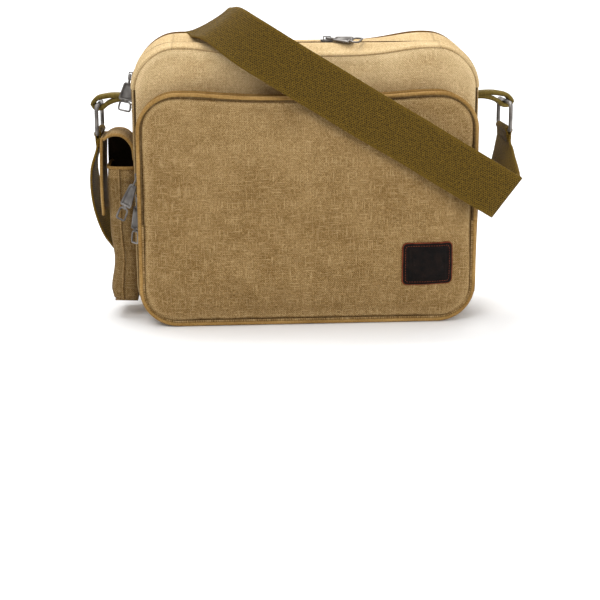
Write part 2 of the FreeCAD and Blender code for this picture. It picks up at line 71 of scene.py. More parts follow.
def bump(value, centre, width):
    """1 at the centre, falling off smoothly over the width."""
    return np.exp(-((value - centre) / width) ** 2)


# ---------------------------------------------------------------- driving places, read from the frame
wall_low, wall_high = span("main_front_wall")
rear_high = span("main_back_wall")[1]
HALF = wall_high[0]                       # half width of the main compartment
FRONT_SEAM, BACK_SEAM = wall_low[1], rear_high[1]
leaf_high = span("mouth_front_leaf")[1]
TOP = leaf_high[2] - 0.15                 # height of the top leaves' cloth
ZIP_FRONT, ZIP_BACK = leaf_high[1] - 3, span("mouth_back_leaf")[0][1] + 3
ZIP_Y = (ZIP_FRONT + ZIP_BACK) / 2
LOW_CORNER, HIGH_CORNER = 38, 40           # corner radii of the main walls
panel_low, panel_high = span("front_panel_lower")
flap_low, flap_high = span("front_flap_panel")
BOX_HALF, BOX_LOW, BOX_HIGH, BOX_CORNER = panel_high[0], panel_low[2], flap_high[2], 33
FRONT_FACE, BACK_FACE = panel_low[1], span("back_panel_lower")[1][1]
FRONT_FOLD = (panel_high[2] + flap_low[2]) / 2
BACK_FOLD = (span("back_panel_lower")[1][2] + span("back_flap_panel")[0][2]) / 2
FRONT_ZIP, BACK_ZIP = span("front_zip_fixed_row")[0][1] - 1, span("back_zip_fixed_row")[1][1] + 1


# ---------------------------------------------------------------- mesh making
def mesh_object(name, points, faces, uvs=None, wear_and_shading=None, smooth_shaded=True):
    """A mesh object from points in millimetres; uvs are a pair per face corner, and one value a point gives
    rubbed wear and painted top light above 0, painted shade below 0.
    """
    mesh = bpy.data.meshes.new(name)
    mesh.from_pydata((np.asarray(points) * MM).tolist(), [], [list(face) for face in faces])
    if uvs is not None:
        layer = mesh.uv_layers.new(name="cloth")
        layer.data.foreach_set("uv", np.asarray(uvs, dtype=np.float32).ravel())
    # one value a point: rubbed wear and painted top light above 0, painted shade in seams and grooves below
    # 0
    if wear_and_shading is not None:
        layer = mesh.attributes.new("wear_and_shading", "FLOAT", "POINT")
        layer.data.foreach_set("value", np.asarray(wear_and_shading, dtype=np.float32).ravel())
    mesh.polygons.foreach_set("use_smooth", [smooth_shaded] * len(mesh.polygons))
    mesh.update()
    piece = bpy.data.objects.new(name, mesh)
    bpy.context.collection.objects.link(piece)
    return piece


def quad_faces(rows, columns):
    """The faces of a plain grid of points."""
    return [(r * columns + c, r * columns + c + 1, (r + 1) * columns + c + 1, (r + 1) * columns + c)
            for r in range(rows - 1) for c in range(columns - 1)]


def grid_normals(grid):
    """Unit normals of a grid of points, on its outer side."""
    normals = np.cross(np.gradient(grid, axis=1), np.gradient(grid, axis=0))
    return normals / np.maximum(np.linalg.norm(normals, axis=2, keepdims=True), 1e-9)


def cloth(name, grid, thick=1.6, flip=False, wear_and_shading=None, two_sided=False):
    """Closed cloth of one thickness; the grid (rows, columns, xyz) is its outer side.
    The inner layer of two-sided cloth takes the second material slot."""
    grid = np.asarray(grid, float)
    if flip:
        grid = grid[::-1]
        wear_and_shading = None if wear_and_shading is None else np.asarray(wear_and_shading)[::-1]
    rows, columns = grid.shape[:2]
    normals = grid_normals(grid)
    points = np.concatenate([grid.reshape(-1, 3), (grid - normals * thick).reshape(-1, 3)])
    layer = rows * columns
    steps = np.linalg.norm(np.diff(grid, axis=1, append=grid[:, :1]), axis=2).mean(axis=0)
    u_line = np.concatenate([[0], np.cumsum(steps)])
    v_line = np.concatenate([[0], np.cumsum(np.linalg.norm(np.diff(grid, axis=0), axis=2).mean(axis=1))])
    faces, uvs, inner = [], [], []

    def add(corners, depth_flags, is_inner):
        faces.append([row * columns + column + (layer if deep else 0)
                      for (row, column), deep in zip(corners, depth_flags)])
        uvs.extend((u_line[column] * MM, v_line[row] * MM) for row, column in corners)
        inner.append(is_inner)

    for row in range(rows - 1):
        for column in range(columns - 1):
            quad = [(row, column), (row, column + 1), (row + 1, column + 1), (row + 1, column)]
            add(quad, (0, 0, 0, 0), 0)
            add(quad[::-1], (1, 1, 1, 1), 1)
    rim = [pair for column in range(columns - 1)
           for pair in (((0, column + 1), (0, column)), ((rows - 1, column), (rows - 1, column + 1)))]
    rim += [pair for row in range(rows - 1)
            for pair in (((row, 0), (row + 1, 0)), ((row + 1, columns - 1), (row, columns - 1)))]
    for here, beside in rim:
        add([here, beside, beside, here], (0, 0, 1, 1), 0)
    wear_and_shading = np.zeros((rows, columns)) if wear_and_shading is None else np.asarray(wear_and_shading)
    piece = mesh_object(name, points, faces, uvs, np.concatenate([wear_and_shading.ravel(), wear_and_shading.ravel()]))
    if two_sided:
        piece.data.polygons.foreach_set("material_index", inner)
    return piece


def frames_along(path, closed):
    """Tangents and a steady pair of side directions along a path."""
    path = np.asarray(path, float)
    if closed:
        tangents = np.roll(path, -1, axis=0) - np.roll(path, 1, axis=0)
    else:
        tangents = np.gradient(path, axis=0)
    tangents /= np.linalg.norm(tangents, axis=1, keepdims=True)
    side = np.cross(tangents[0], (0.02, 1, 0.03))
    sides = []
    for tangent in tangents:
        side = side - tangent * np.dot(side, tangent)
        side = side / np.linalg.norm(side)
        sides.append(side)
    sides = np.array(sides)
    return tangents, sides, np.cross(tangents, sides)


def tube(name, path, radius, closed=False, sides=10, flat=1.0):
    """Round cord along a path; radius may vary along it, and flat squeezes its second side."""
    path = np.asarray(path, float)
    _, first, second = frames_along(path, closed)
    angles = np.linspace(0, 2 * math.pi, sides, endpoint=False)
    radius = np.broadcast_to(np.asarray(radius, float), len(path))
    ring = (np.cos(angles)[None, :, None] * first[:, None] +
            np.sin(angles)[None, :, None] * second[:, None] * flat)
    points = (path[:, None] + ring * radius[:, None, None]).reshape(-1, 3)
    lengths = np.linalg.norm(np.diff(path, axis=0, append=path[:1]), axis=1)
    u_line = np.concatenate([[0], np.cumsum(lengths)]) * MM
    around = 2 * math.pi * float(radius.mean()) * MM
    faces, uvs = [], []
    count = len(path)
    for index in range(count if closed else count - 1):
        following = (index + 1) % count
        for side in range(sides):
            beside = (side + 1) % sides
            faces.append((index * sides + side, following * sides + side,
                          following * sides + beside, index * sides + beside))
            low, high = side / sides * around, (side + 1) / sides * around
            uvs += [(u_line[index], low), (u_line[index + 1], low),
                    (u_line[index + 1], high), (u_line[index], high)]
    if not closed:
        faces.append(tuple(range(sides)))
        faces.append(tuple(reversed(range((count - 1) * sides, count * sides))))
        uvs += [(0, 0)] * sides * 2
    return mesh_object(name, points, faces, uvs)


def blocks(name, places, size, taper=1.0):
    """Many small bevelled blocks in one mesh; places are (centre, along, outwards) directions.
    size is length along, width across and height outwards."""
    points, faces = [], []
    long, wide, high = size[0] / 2, size[1] / 2, size[2] / 2
    corners = [(a, b, c) for c in (-1, 1) for b in (-1, 1) for a in (-1, 1)]
    sides = ((0, 2, 3, 1), (4, 5, 7, 6), (0, 1, 5, 4), (2, 6, 7, 3), (0, 4, 6, 2), (1, 3, 7, 5))
    for centre, along, outwards in places:
        along = np.asarray(along, float) / np.linalg.norm(along)
        outwards = np.asarray(outwards, float) - along * np.dot(outwards, along)
        outwards = outwards / np.linalg.norm(outwards)
        across = np.cross(outwards, along)
        start = len(points)
        for a, b, c in corners:
            shrink = taper if c > 0 else 1
            points.append(np.asarray(centre) + along * long * a * shrink +
                          across * wide * b * shrink + outwards * high * c)
        faces += [tuple(start + corner for corner in side) for side in sides]
    return mesh_object(name, points, faces, [(0, 0)] * (4 * len(faces)), smooth_shaded=False)


def walk(path, pitch, closed=False):
    """Evenly spaced points on a path, with the direction along it."""
    path = np.asarray(path, float)
    if closed:
        path = np.concatenate([path, path[:1]])
    lengths = np.concatenate([[0], np.cumsum(np.linalg.norm(np.diff(path, axis=0), axis=1))])
    count = max(2, int(round(lengths[-1] / pitch)))
    marks = (np.arange(count) + 0.5) * lengths[-1] / count
    spots = np.stack([np.interp(marks, lengths, path[:, axis]) for axis in range(3)], axis=1)
    ahead = np.stack([np.interp(np.minimum(marks + pitch / 3, lengths[-1]), lengths, path[:, axis])
                      for axis in range(3)], axis=1)
    behind = np.stack([np.interp(np.maximum(marks - pitch / 3, 0), lengths, path[:, axis])
                       for axis in range(3)], axis=1)
    return spots, ahead - behind


def curve_through(stations, count):
    """Smooth curve through listed stations, evenly sampled; each may hold more than three numbers."""
    stations = np.asarray(stations, float)
    steps = np.linalg.norm(np.diff(stations[:, :3], axis=0), axis=1)
    slopes = np.diff(stations, axis=0) / steps[:, None]
    inner = slopes[:-1] * steps[1:, None] + slopes[1:] * steps[:-1, None]
    inner /= (steps[1:] + steps[:-1])[:, None]
    tangents = np.concatenate([slopes[:1], inner, slopes[-1:]])
    marks = np.concatenate([[0], np.cumsum(steps)])
    result = []
    for spot in np.linspace(0, marks[-1], count):
        index = int(np.clip(np.searchsorted(marks, spot) - 1, 0, len(steps) - 1))
        step = steps[index]
        t = (spot - marks[index]) / step
        result.append((2 * t ** 3 - 3 * t ** 2 + 1) * stations[index] +
                      (t ** 3 - 2 * t ** 2 + t) * step * tangents[index] +
                      (3 * t ** 2 - 2 * t ** 3) * stations[index + 1] +
                      (t ** 3 - t ** 2) * step * tangents[index + 1])
    return np.array(result)


# ---------------------------------------------------------------- finishes
def colour(red, green, blue):
    """A screen colour of 0 to 255 as the linear colour a shader takes."""
    return tuple((value / 255) ** 2.2 for value in (red, green, blue)) + (1.0,)


for packed_material in list(bpy.data.materials):
    bpy.data.materials.remove(packed_material)


class Shader:
    """Small helper round one material's node tree."""

    def __init__(self, name, roughness=0.8, metallic=0.0):
        self.material = bpy.data.materials.new(name)
        self.material.use_nodes = True
        self.tree = self.material.node_tree
        self.surface = self.tree.nodes["Principled BSDF"]
        self.surface.inputs["Roughness"].default_value = roughness
        self.surface.inputs["Metallic"].default_value = metallic
        self.surface.inputs["Specular IOR Level"].default_value = 0.5 if metallic else 0.16
        self.place = self.tree.nodes.new("ShaderNodeTexCoord")

    def node(self, kind, **settings):
        """A new node of a kind, with its settings."""
        made = self.tree.nodes.new(kind)
        for key, value in settings.items():
            setattr(made, key, value)
        return made

    def link(self, source, target):
        self.tree.links.new(source, target)

    def math(self, operation, first, second=0.0):
        """The result of an operation on two values or sockets."""
        made = self.node("ShaderNodeMath", operation=operation)
        for socket, value in zip(made.inputs, (first, second)):
            if isinstance(value, (int, float)):
                socket.default_value = value
            else:
                self.link(value, socket)
        return made.outputs[0]

    def scaled(self, along, across, up=1.0, source="UV"):
        """Texture coordinates, metres times a scale for each axis."""
        made = self.node("ShaderNodeMapping")
        made.inputs["Scale"].default_value = (along, across, up)
        self.link(self.place.outputs[source], made.inputs["Vector"])
        return made.outputs["Vector"]

    def noise(self, vector, detail=2.0, rough=0.5):
        """Noise of about one grain to a unit of the vector."""
        made = self.node("ShaderNodeTexNoise")
        made.inputs["Scale"].default_value = 1.0
        made.inputs["Detail"].default_value = detail
        made.inputs["Roughness"].default_value = rough
        self.link(vector, made.inputs["Vector"])
        return made.outputs["Fac"]

    def split(self, along_pitch, across_pitch):
        """The cloth's two coordinates, each one full turn to a pitch."""
        made = self.node("ShaderNodeSeparateXYZ")
        self.link(self.scaled(2 * math.pi / along_pitch, 2 * math.pi / across_pitch), made.inputs[0])
        return made.outputs[0], made.outputs[1]

    def checks(self, pitch):
        """Over and under of a plain weave, from -1 to 1."""
        along, across = self.split(pitch, pitch)
        return self.math("MULTIPLY", self.math("SINE", along), self.math("SINE", across))

    def spread(self, value, low, high):
        """Stretch a value so that low becomes 0 and high becomes 1, clamped."""
        made = self.node("ShaderNodeMapRange")
        made.inputs["From Min"].default_value = low
        made.inputs["From Max"].default_value = high
        self.link(value, made.inputs["Value"])
        return made.outputs["Result"]

    def mix(self, share, first, second):
        """A colour between two; each of the three may be a value or a socket."""
        made = self.node("ShaderNodeMix", data_type="RGBA")
        sockets = made.inputs[0], made.inputs[6], made.inputs[7]
        for socket, value in zip(sockets, (share, first, second)):
            if isinstance(value, (tuple, float, int)):
                socket.default_value = value
            else:
                self.link(value, socket)
        return made.outputs[2]

    def bump(self, height, strength, distance):
        """Relief from a height; the distance is in metres."""
        made = self.node("ShaderNodeBump")
        made.inputs["Strength"].default_value = strength
        made.inputs["Distance"].default_value = distance
        self.link(height, made.inputs["Height"])
        self.link(made.outputs["Normal"], self.surface.inputs["Normal"])

    def paint(self, value):
        """Use a colour as the surface's base colour."""
        self.link(value, self.surface.inputs["Base Color"])


WEAVE_PITCH = 0.0023                       # metres between like threads, as on all the pitches below
RIB_ACROSS, RIB_ALONG = 0.0018, 0.0026


def woven(name, base, thread, faded, fade=0.3):
    """Washed canvas: crossing slubby threads, soft fading, paler rubbed wear and painted top light
    (attribute above 0) and painted shade darkening seams and grooves (attribute below 0)."""
    # painted shade colour: a dark copy of the base, laid where the attribute is below 0
    painted_shade_colour = tuple(0.22 * value for value in base[:3]) + (1.0,)
    shader = Shader(name, 0.9)
    weave = shader.checks(WEAVE_PITCH)
    warp = shader.noise(shader.scaled(380, 1600), 2)
    weft = shader.noise(shader.scaled(1600, 380), 2)
    long_slubs = shader.noise(shader.scaled(70, 1300), 1)
    cross_slubs = shader.noise(shader.scaled(1300, 70), 1)
    mingled = shader.math("ADD", shader.math("MAXIMUM", warp, weft), shader.math("MULTIPLY", weave, 0.085))
    speckle = shader.spread(mingled, 0.44, 0.70)
    slubs = shader.spread(shader.math("MAXIMUM", long_slubs, cross_slubs), 0.56, 0.70)
    body = shader.mix(speckle, base, thread)
    body = shader.mix(shader.math("MULTIPLY", slubs, 0.45), body, faded)
    clouds = shader.spread(shader.noise(shader.scaled(22, 26), 4, 0.6), 0.36, 0.70)
    wear_and_shading_fac = shader.node("ShaderNodeAttribute", attribute_name="wear_and_shading").outputs["Fac"]
    # above 0: paler rubbed wear together with painted top light
    wear_and_shading_share = shader.math("MULTIPLY", shader.math("MAXIMUM", wear_and_shading_fac, 0.0),
                       shader.math("ADD", 0.55, shader.math("MULTIPLY", speckle, 0.45)))
    # below 0: painted shade in seams and grooves
    painted_shade_share = shader.spread(wear_and_shading_fac, 0.0, -1.0)
    share = shader.math("MINIMUM", shader.math("ADD", shader.math("MULTIPLY", clouds, fade), wear_and_shading_share), 1.0)
    faded_worn_and_lit = shader.mix(share, body, shader.mix(speckle, thread, faded))
    shader.paint(shader.mix(shader.math("MULTIPLY", painted_shade_share, 0.85), faded_worn_and_lit, painted_shade_colour))
    height = shader.math("ADD", shader.math("MULTIPLY", weave, 0.3), speckle)
    shader.bump(height, 0.6, 0.0006)
    return shader.material


def webbing(name, base, ridge):
    """Ribbed cotton webbing: short slanting ridges in rows across the band."""
    shader = Shader(name, 0.85)
    along, across = shader.split(RIB_ALONG, RIB_ACROSS)
    half_turn = shader.math("MULTIPLY", across, 0.5)
    slant = shader.math("ADD", along, shader.math("MULTIPLY", shader.math("SINE", half_turn), 2.6))
    ridges = shader.math("SINE", slant)
    rows = shader.math("ABSOLUTE", shader.math("COSINE", half_turn))
    height = shader.math("ADD", shader.math("MULTIPLY", ridges, 0.6), rows)
    grain = shader.spread(shader.noise(shader.scaled(420, 420), 2), 0.3, 0.7)
    tone = shader.spread(shader.math("ADD", height, shader.math("MULTIPLY", grain, 0.9)), 0.1, 2.0)
    body = shader.mix(tone, base, ridge)
    wear_and_shading_share = shader.node("ShaderNodeAttribute", attribute_name="wear_and_shading").outputs["Fac"]
    shader.paint(shader.mix(shader.math("MULTIPLY", wear_and_shading_share, 0.6), body, ridge))
    shader.bump(height, 0.7, 0.0006)
    return shader.material


def plain_fabric(name, base, light, pitch=0.0012, roughness=0.85):
    """Plain lining, tape or piping with a faint weave."""
    shader = Shader(name, roughness)
    grain = shader.spread(shader.noise(shader.scaled(700, 350), 2), 0.3, 0.7)
    clouds = shader.spread(shader.noise(shader.scaled(25, 60), 2), 0.35, 0.7)
    tone = shader.math("ADD", shader.math("MULTIPLY", grain, 0.5), shader.math("MULTIPLY", clouds, 0.5))
    shader.paint(shader.mix(tone, base, light))
    shader.bump(shader.checks(pitch), 0.4, 0.0004)
    return shader.material


def metal(name, base, dark, roughness):
    """Cast metal with slightly uneven tone and gloss."""
    shader = Shader(name, roughness, 1.0)
    cast = shader.spread(shader.noise(shader.scaled(90, 90, 90, source="Object"), 1), 0.3, 0.75)
    shader.paint(shader.mix(cast, base, dark))
    gloss = shader.spread(cast, roughness - 1.6, 1.8 - roughness)
    shader.link(gloss, shader.surface.inputs["Roughness"])
    return shader.material


def leather(name, base, light):
    """Dull pored leather."""
    shader = Shader(name, 0.58)
    cells = shader.node("ShaderNodeTexVoronoi", feature="DISTANCE_TO_EDGE")
    shader.link(shader.scaled(900, 900, 900, source="Object"), cells.inputs["Vector"])
    pores = shader.spread(cells.outputs["Distance"], 0.0, 0.35)
    clouds = shader.spread(shader.noise(shader.scaled(140, 140, 140, source="Object"), 3), 0.35, 0.75)
    shader.paint(shader.mix(clouds, base, light))
    shader.bump(pores, 0.35, 0.0003)
    shader.surface.inputs["Specular IOR Level"].default_value = 0.1
    return shader.material


CANVAS = woven("khaki_canvas", colour(90, 65, 31), colour(155, 125, 80), colour(201, 172, 125))
# A lighter copy of the canvas: painted light for the main walls, the yoke and the top, which face up into
# the light.
LIT_CANVAS = woven("khaki_canvas_painted_light", colour(142, 112, 68), colour(207, 177, 129),
                    colour(232, 208, 164), fade=0.45)
LINING = plain_fabric("khaki_lining", colour(112, 84, 46), colour(146, 116, 70))
WEBBING = webbing("olive_webbing", colour(34, 25, 3), colour(115, 90, 32))
PIPING = plain_fabric("brown_piping", colour(120, 88, 42), colour(180, 144, 88), 0.0009, 0.7)
DARK_TAPE = plain_fabric("brown_zip_tape", colour(84, 58, 28), colour(120, 88, 46), 0.0009)
OLIVE_TAPE = plain_fabric("olive_binding", colour(84, 70, 30), colour(128, 110, 58), 0.0009)
TEETH = metal("zip_teeth", colour(128, 96, 52), colour(76, 52, 26), 0.45)
GUNMETAL = metal("gunmetal", colour(142, 138, 134), colour(96, 92, 89), 0.22)
NICKEL = metal("nickel", colour(206, 204, 200), colour(160, 158, 154), 0.2)
# Very dark lining: painted shade for the inside of the phone pocket, under its arch and behind it.
PAINTED_SHADE_LINING = plain_fabric("lining_painted_shade", colour(34, 24, 14), colour(52, 38, 22))
LEATHER = leather("dark_leather", colour(13, 9, 8), colour(30, 21, 17))
LEATHER_EDGE = leather("leather_edge", colour(88, 40, 26), colour(122, 62, 40))


def dress(piece, *materials, on=None, bends=None, stands_for=()):
    """Give a piece its finish, its body and what it replaces; with bends, whose bodies and points are not
    used, it only has its transform baked in.
    """
    for material in materials:
        piece.data.materials.append(material)
    if bends:
        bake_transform(piece)
    else:
        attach(piece, on)
    if stands_for:
        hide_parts(*stands_for)
    return piece


# ---------------------------------------------------------------- camera, light and stage
def place_camera():
    """The photograph's view: a little from the left and above, the bag high in a square frame."""
    camera_data = bpy.data.cameras.new("photo_camera")
    camera = bpy.data.objects.new("photo_camera", camera_data)
    bpy.context.collection.objects.link(camera)
    azimuth, elevation, distance = math.radians(-4), math.radians(10.5), 1.193
    target = Vector((0, FRONT_FACE * MM, 0.143))
    level = math.cos(elevation)
    camera.location = target + distance * Vector((math.sin(azimuth) * level, -math.cos(azimuth) * level,
                                                  math.sin(elevation)))
    camera.rotation_euler = (target - camera.location).to_track_quat("-Z", "Y").to_euler()
    camera_data.sensor_width = 36
    camera_data.lens = 72.5
    camera_data.shift_x, camera_data.shift_y = -0.015, -0.192
    bpy.context.scene.camera = camera


def softbox(name, centre, aim, size, watts):
    """An area light; places and sizes on the stage are in metres."""
    light = bpy.data.lights.new(name, "AREA")
    light.shape = "RECTANGLE"
    light.size, light.size_y = size
    light.energy = watts
    lamp = bpy.data.objects.new(name, light)
    lamp.location = centre
    lamp.rotation_euler = (Vector(aim) - Vector(centre)).to_track_quat("-Z", "Y").to_euler()
    bpy.context.collection.objects.link(lamp)


def set_stage():
    """White room light, four softboxes, and a pale floor that curves up into the backdrop."""
    world = bpy.data.worlds.new("studio")
    world.use_nodes = True
    world.node_tree.nodes["Background"].inputs["Color"].default_value = (1, 1, 1, 1)
    world.node_tree.nodes["Background"].inputs["Strength"].default_value = 0.42
    bpy.context.scene.world = world
    bpy.context.scene.view_settings.view_transform = "Standard"
    softbox("key_light", (-0.75, -1.4, 1.5), (0, 0, 0.12), (1.0, 0.8), 16.5)
    softbox("fill_light", (1.3, -1.2, 0.5), (0, 0, 0.10), (0.9, 0.9), 12)
    softbox("top_light", (-0.2, 0.2, 1.5), (0, 0, 0.2), (1.2, 0.8), 15)
    softbox("backdrop_light", (0, 0.45, 1.9), (0, 1.5, 0.35), (2.4, 0.5), 22)

    reach, start, sweep, top = 5000, 900, 600, 4000
    profile = [(-reach, 0), (start, 0)]
    profile += [(start + sweep * math.sin(a), sweep - sweep * math.cos(a))
                for a in np.linspace(0.1, math.pi / 2, 12)]
    profile.append((start + sweep, top))
    points = [(side, y, z) for y, z in profile for side in (-reach, reach)]
    faces = [(2 * i, 2 * i + 1, 2 * i + 3, 2 * i + 2) for i in range(len(profile) - 1)]
    backdrop = mesh_object("floor_and_backdrop", points, faces)
    paper = Shader("pale_paper", 0.9)
    grain = paper.noise(paper.scaled(30, 30, 30, source="Object"), 2)
    paper.paint(paper.mix(grain, (0.93, 0.93, 0.93, 1), (0.96, 0.96, 0.96, 1)))
    backdrop.data.materials.append(paper.material)


# ---------------------------------------------------------------- the bag's soft outline
def slump(points):
    """The unfilled top hangs: the front seam drops in the middle, the back seam stands up in two ears."""
    points = np.array(points, float)
    x, y, z = points[..., 0], points[..., 1], points[..., 2]
    top = smooth((z - 190) / 85)
    ears = bump(np.abs(x), 124, 44)
    front = smooth((ZIP_Y - 2 - y) / 26)
    rear = smooth((y - ZIP_Y - 6) / 34)
    points[..., 2] = z + top * (front * (-10 + 8 * ears) + rear * (-2.5 + 9.5 * ears))
    return points


def dents(x, z):
    """Shallow dents and soft folds in stuffed canvas, from -1 to 1."""
    return (np.sin(x / 21 + z / 34 + 0.6) * np.sin(z / 13 - x / 57) + 0.6 * np.sin(x / 9.5 - z / 16) *
            np.sin(z / 23 + x / 41 + 2.0) + 0.5 * np.sin(x / 33 + 1.1) * np.sin(z / 28)) / 2.1


def rounded_grid(half, low, high, low_radius, high_radius, columns, rows):
    """A grid over a rectangle with round corners in the XZ plane: x, z and the distance to the edge."""
    x, z = np.meshgrid(np.linspace(-half, half, columns), np.linspace(low, high, rows))
    for sign, radius in ((-1, low_radius), (1, high_radius)):
        middle = low + radius if sign < 0 else high - radius
        dx = np.clip((np.abs(x) - (half - radius)) / radius, 0, 1)
        dz = np.clip(sign * (z - middle) / radius, 0, 1)
        inside = (dx > 0) & (dz > 0)
        x = np.where(inside, np.sign(x) * (half - radius + radius * dx * np.sqrt(1 - dz ** 2 / 2)), x)
        z = np.where(inside, middle + sign * radius * dz * np.sqrt(1 - dx ** 2 / 2), z)
    return x, z, edge_distance(x, z, half, low, high, low_radius, high_radius)


def edge_distance(x, z, half, low, high, low_radius, high_radius):
    """Distance from points inside a round-cornered rectangle to its edge."""
    distance = np.minimum(half - np.abs(x), np.minimum(z - low, high - z))
    for middle, sign, radius in ((low + low_radius, -1, low_radius), (high - high_radius, 1, high_radius)):
        dx = np.abs(x) - (half - radius)
        dz = sign * (z - middle)
        corner = radius - np.hypot(np.maximum(dx, 0), np.maximum(dz, 0))
        distance = np.where((dx > 0) & (dz > 0), np.minimum(distance, corner), distance)
    return np.maximum(distance, 0)


def run(half, edge, radius, cut, count=160):
    """From (-half, cut) round the edge's two corners to (half, cut): points and outward directions."""
    sign = 1 if edge > cut else -1
    turn = np.linspace(0, math.pi / 2, 24)
    corner = np.stack([-half + radius - radius * np.cos(turn),
                       edge - sign * radius * (1 - np.sin(turn))], axis=1)
    line = np.concatenate([[[-half, cut]], corner, corner[::-1] * (-1, 1), [[half, cut]]])
    lengths = np.concatenate([[0], np.cumsum(np.linalg.norm(np.diff(line, axis=0), axis=1))])
    marks = np.linspace(0, lengths[-1], count)
    path = np.stack([np.interp(marks, lengths, line[:, axis]) for axis in range(2)], axis=1)
    tangent = np.gradient(path, axis=0)
    tangent /= np.linalg.norm(tangent, axis=1, keepdims=True)
    return path, sign * np.stack([-tangent[:, 1], tangent[:, 0]], axis=1)


def band(path, normals, depths, offsets):
    """Grid of rows at the given depths y; offsets (rows or rows x columns) push outwards."""
    offsets = np.asarray(offsets, float)
    if offsets.ndim == 1:
        offsets = offsets[:, None] * np.ones(len(path))
    grid = np.empty((len(depths), len(path), 3))
    grid[..., 0] = path[:, 0] + normals[:, 0] * offsets
    grid[..., 1] = np.asarray(depths, float)[:, None]
    grid[..., 2] = path[:, 1] + normals[:, 1] * offsets
    return grid


def across_rows(values, columns):
    """One value a row, the same all along the row."""
    return np.repeat(np.asarray(values)[:, None], columns, axis=1)


def along(path, normals, y, offset):
    """The same run as a line in space, at depth y."""
    return band(path, normals, [y], [offset])[0]


SETTLE_FRAMES, SPARE_CLOTH, SETTLE_REACH = 30, 0.012, 5.5


def settle(grid, pressure):
    """Let a sheet with a sewn border fill out: cloth simulation with a little spare cloth, no point
    travelling further than SETTLE_REACH mm."""
    rows, columns = grid.shape[:2]
    sheet = mesh_object("settling", grid.reshape(-1, 3), quad_faces(rows, columns))
    pinned = sheet.vertex_groups.new(name="pinned")
    fixed = np.zeros((rows, columns), bool)
    fixed[[0, -1], :] = True
    fixed[:, [0, -1]] = True
    pinned.add([int(index) for index in np.flatnonzero(fixed.ravel())], 1.0, "REPLACE")
    modifier = sheet.modifiers.new("settle", "CLOTH")
    modifier.settings.vertex_group_mass = "pinned"
    modifier.settings.quality = 6
    modifier.settings.mass = 0.4
    modifier.settings.tension_stiffness = 40
    modifier.settings.compression_stiffness = 40
    modifier.settings.shear_stiffness = 15
    modifier.settings.bending_stiffness = 1.5
    modifier.settings.air_damping = 4
    modifier.settings.shrink_min = -SPARE_CLOTH
    modifier.settings.use_pressure = True
    modifier.settings.uniform_pressure_force = pressure
    modifier.settings.effector_weights.gravity = 0.0
    modifier.collision_settings.use_collision = False
    modifier.point_cache.frame_start, modifier.point_cache.frame_end = 1, SETTLE_FRAMES
    for frame_number in range(1, SETTLE_FRAMES + 1):
        bpy.context.scene.frame_set(frame_number)
    settled = sheet.evaluated_get(bpy.context.evaluated_depsgraph_get()).to_mesh()
    flat = np.empty(len(settled.vertices) * 3)
    settled.vertices.foreach_get("co", flat)
    mesh = sheet.data
    bpy.data.objects.remove(sheet)
    bpy.data.meshes.remove(mesh)
    bpy.context.scene.frame_set(1)
    travel = flat.reshape(rows, columns, 3) / MM - grid
    reach = np.linalg.norm(travel, axis=2, keepdims=True)
    return grid + travel * np.minimum(1, SETTLE_REACH / np.maximum(reach, 1e-6))


def threads(name, line, out, material):
    """A row of topstitching on the bag, standing a little proud in the direction out."""
    out = np.asarray(out, float)
    places = [(spot + out * 0.15, direction, out) for spot, direction in zip(*walk(line, 3.4))]
    dress(blocks(name, places, (2.3, 0.6, 0.5), 0.8), material, on="bag")


# ---------------------------------------------------------------- zips
TOOTH_PITCH = 2.3


def teeth_row(name, line, side, lift, on, stands_for=()):
    """One row of teeth beside the line; side is -1 towards the front and +1 towards the back."""
    places = []
    for spot, direction in zip(*walk(line, TOOTH_PITCH)):
        direction = direction / np.linalg.norm(direction)
        out = np.cross(direction, (0, 1, 0))
        shift = direction * TOOTH_PITCH / 2 if side > 0 else 0
        places.append((spot + shift + np.array((0, side * 1.15, 0)) + out * lift, direction, out))
    return dress(blocks(name, places, (1.25, 3.3, 2.2), 0.75), TEETH, on=on, stands_for=stands_for)


def tape_strip(name, path, normals, near, far, lift, on):
    """A zip's tape along a run, between two depths."""
    rows = np.linspace(near, far, 3)
    grid = slump(band(path, normals, rows, [lift, lift, lift]))
    return dress(cloth(name, grid, 0.9, flip=path_sinks(path)), DARK_TAPE, on=on)


def path_sinks(path):
    """True for a run that goes down and under, whose cloth grid faces inwards."""
    return path[len(path) // 2, 1] < path[0, 1]


def make_zip(name, path, normals, y, lift, bodies, rows, reach=4.6):
    """Both halves of a closed zip along a run at depth y: the bodies and the CAD rows replaced are given
    for the front and the back half, and the tapes end at reach from the middle."""
    line = slump(along(path, normals, y, lift))
    for side, body, nodes in ((-1, bodies[0], rows[0]), (1, bodies[1], rows[1])):
        label = f"{name}_{'front' if side < 0 else 'back'}"
        teeth_row(f"{label}_teeth", line, side, 0.2, body, nodes)
        near, far = sorted((y + side * 1.2, y + side * reach))
        tape_strip(f"{label}_tape", path, normals, near, far, lift - 0.5, body)


# ---------------------------------------------------------------- main compartment
def make_main_wall(name, y, outwards, node):
    """The front or the back wall, with a full yoke above the compartment sewn on it."""
    x, z, edge = rounded_grid(HALF, 0, TOP, LOW_CORNER, HIGH_CORNER, 97, 83)
    roll = 2.4 * np.exp(-edge / 2.6)
    yoke = 4 * np.sin(math.pi * np.clip((z - 232) / 45, 0, 1)) * (1 - (x / 170) ** 4).clip(0)
    soft = 3.2 * dents(x, z) * smooth((z - 205) / 25) * smooth((edge - 2) / 14)
    grid = slump(np.stack([x, y + outwards * (yoke + soft - roll), z], axis=2))
    # Paler rubbed wear near the edge, painted top light rising over the yoke, and painted shade along the
    # seam.
    wear_and_shading = 0.7 * bump(edge, 4.5, 3.5) * smooth((z - 30) / 60) + 0.25 * smooth((z - 200) / 60) - \
        0.5 * np.exp(-edge / 1.1)
    dress(cloth(name, grid, 2.0, flip=outwards > 0, wear_and_shading=wear_and_shading), LIT_CANVAS, on="bag", stands_for=(node,))


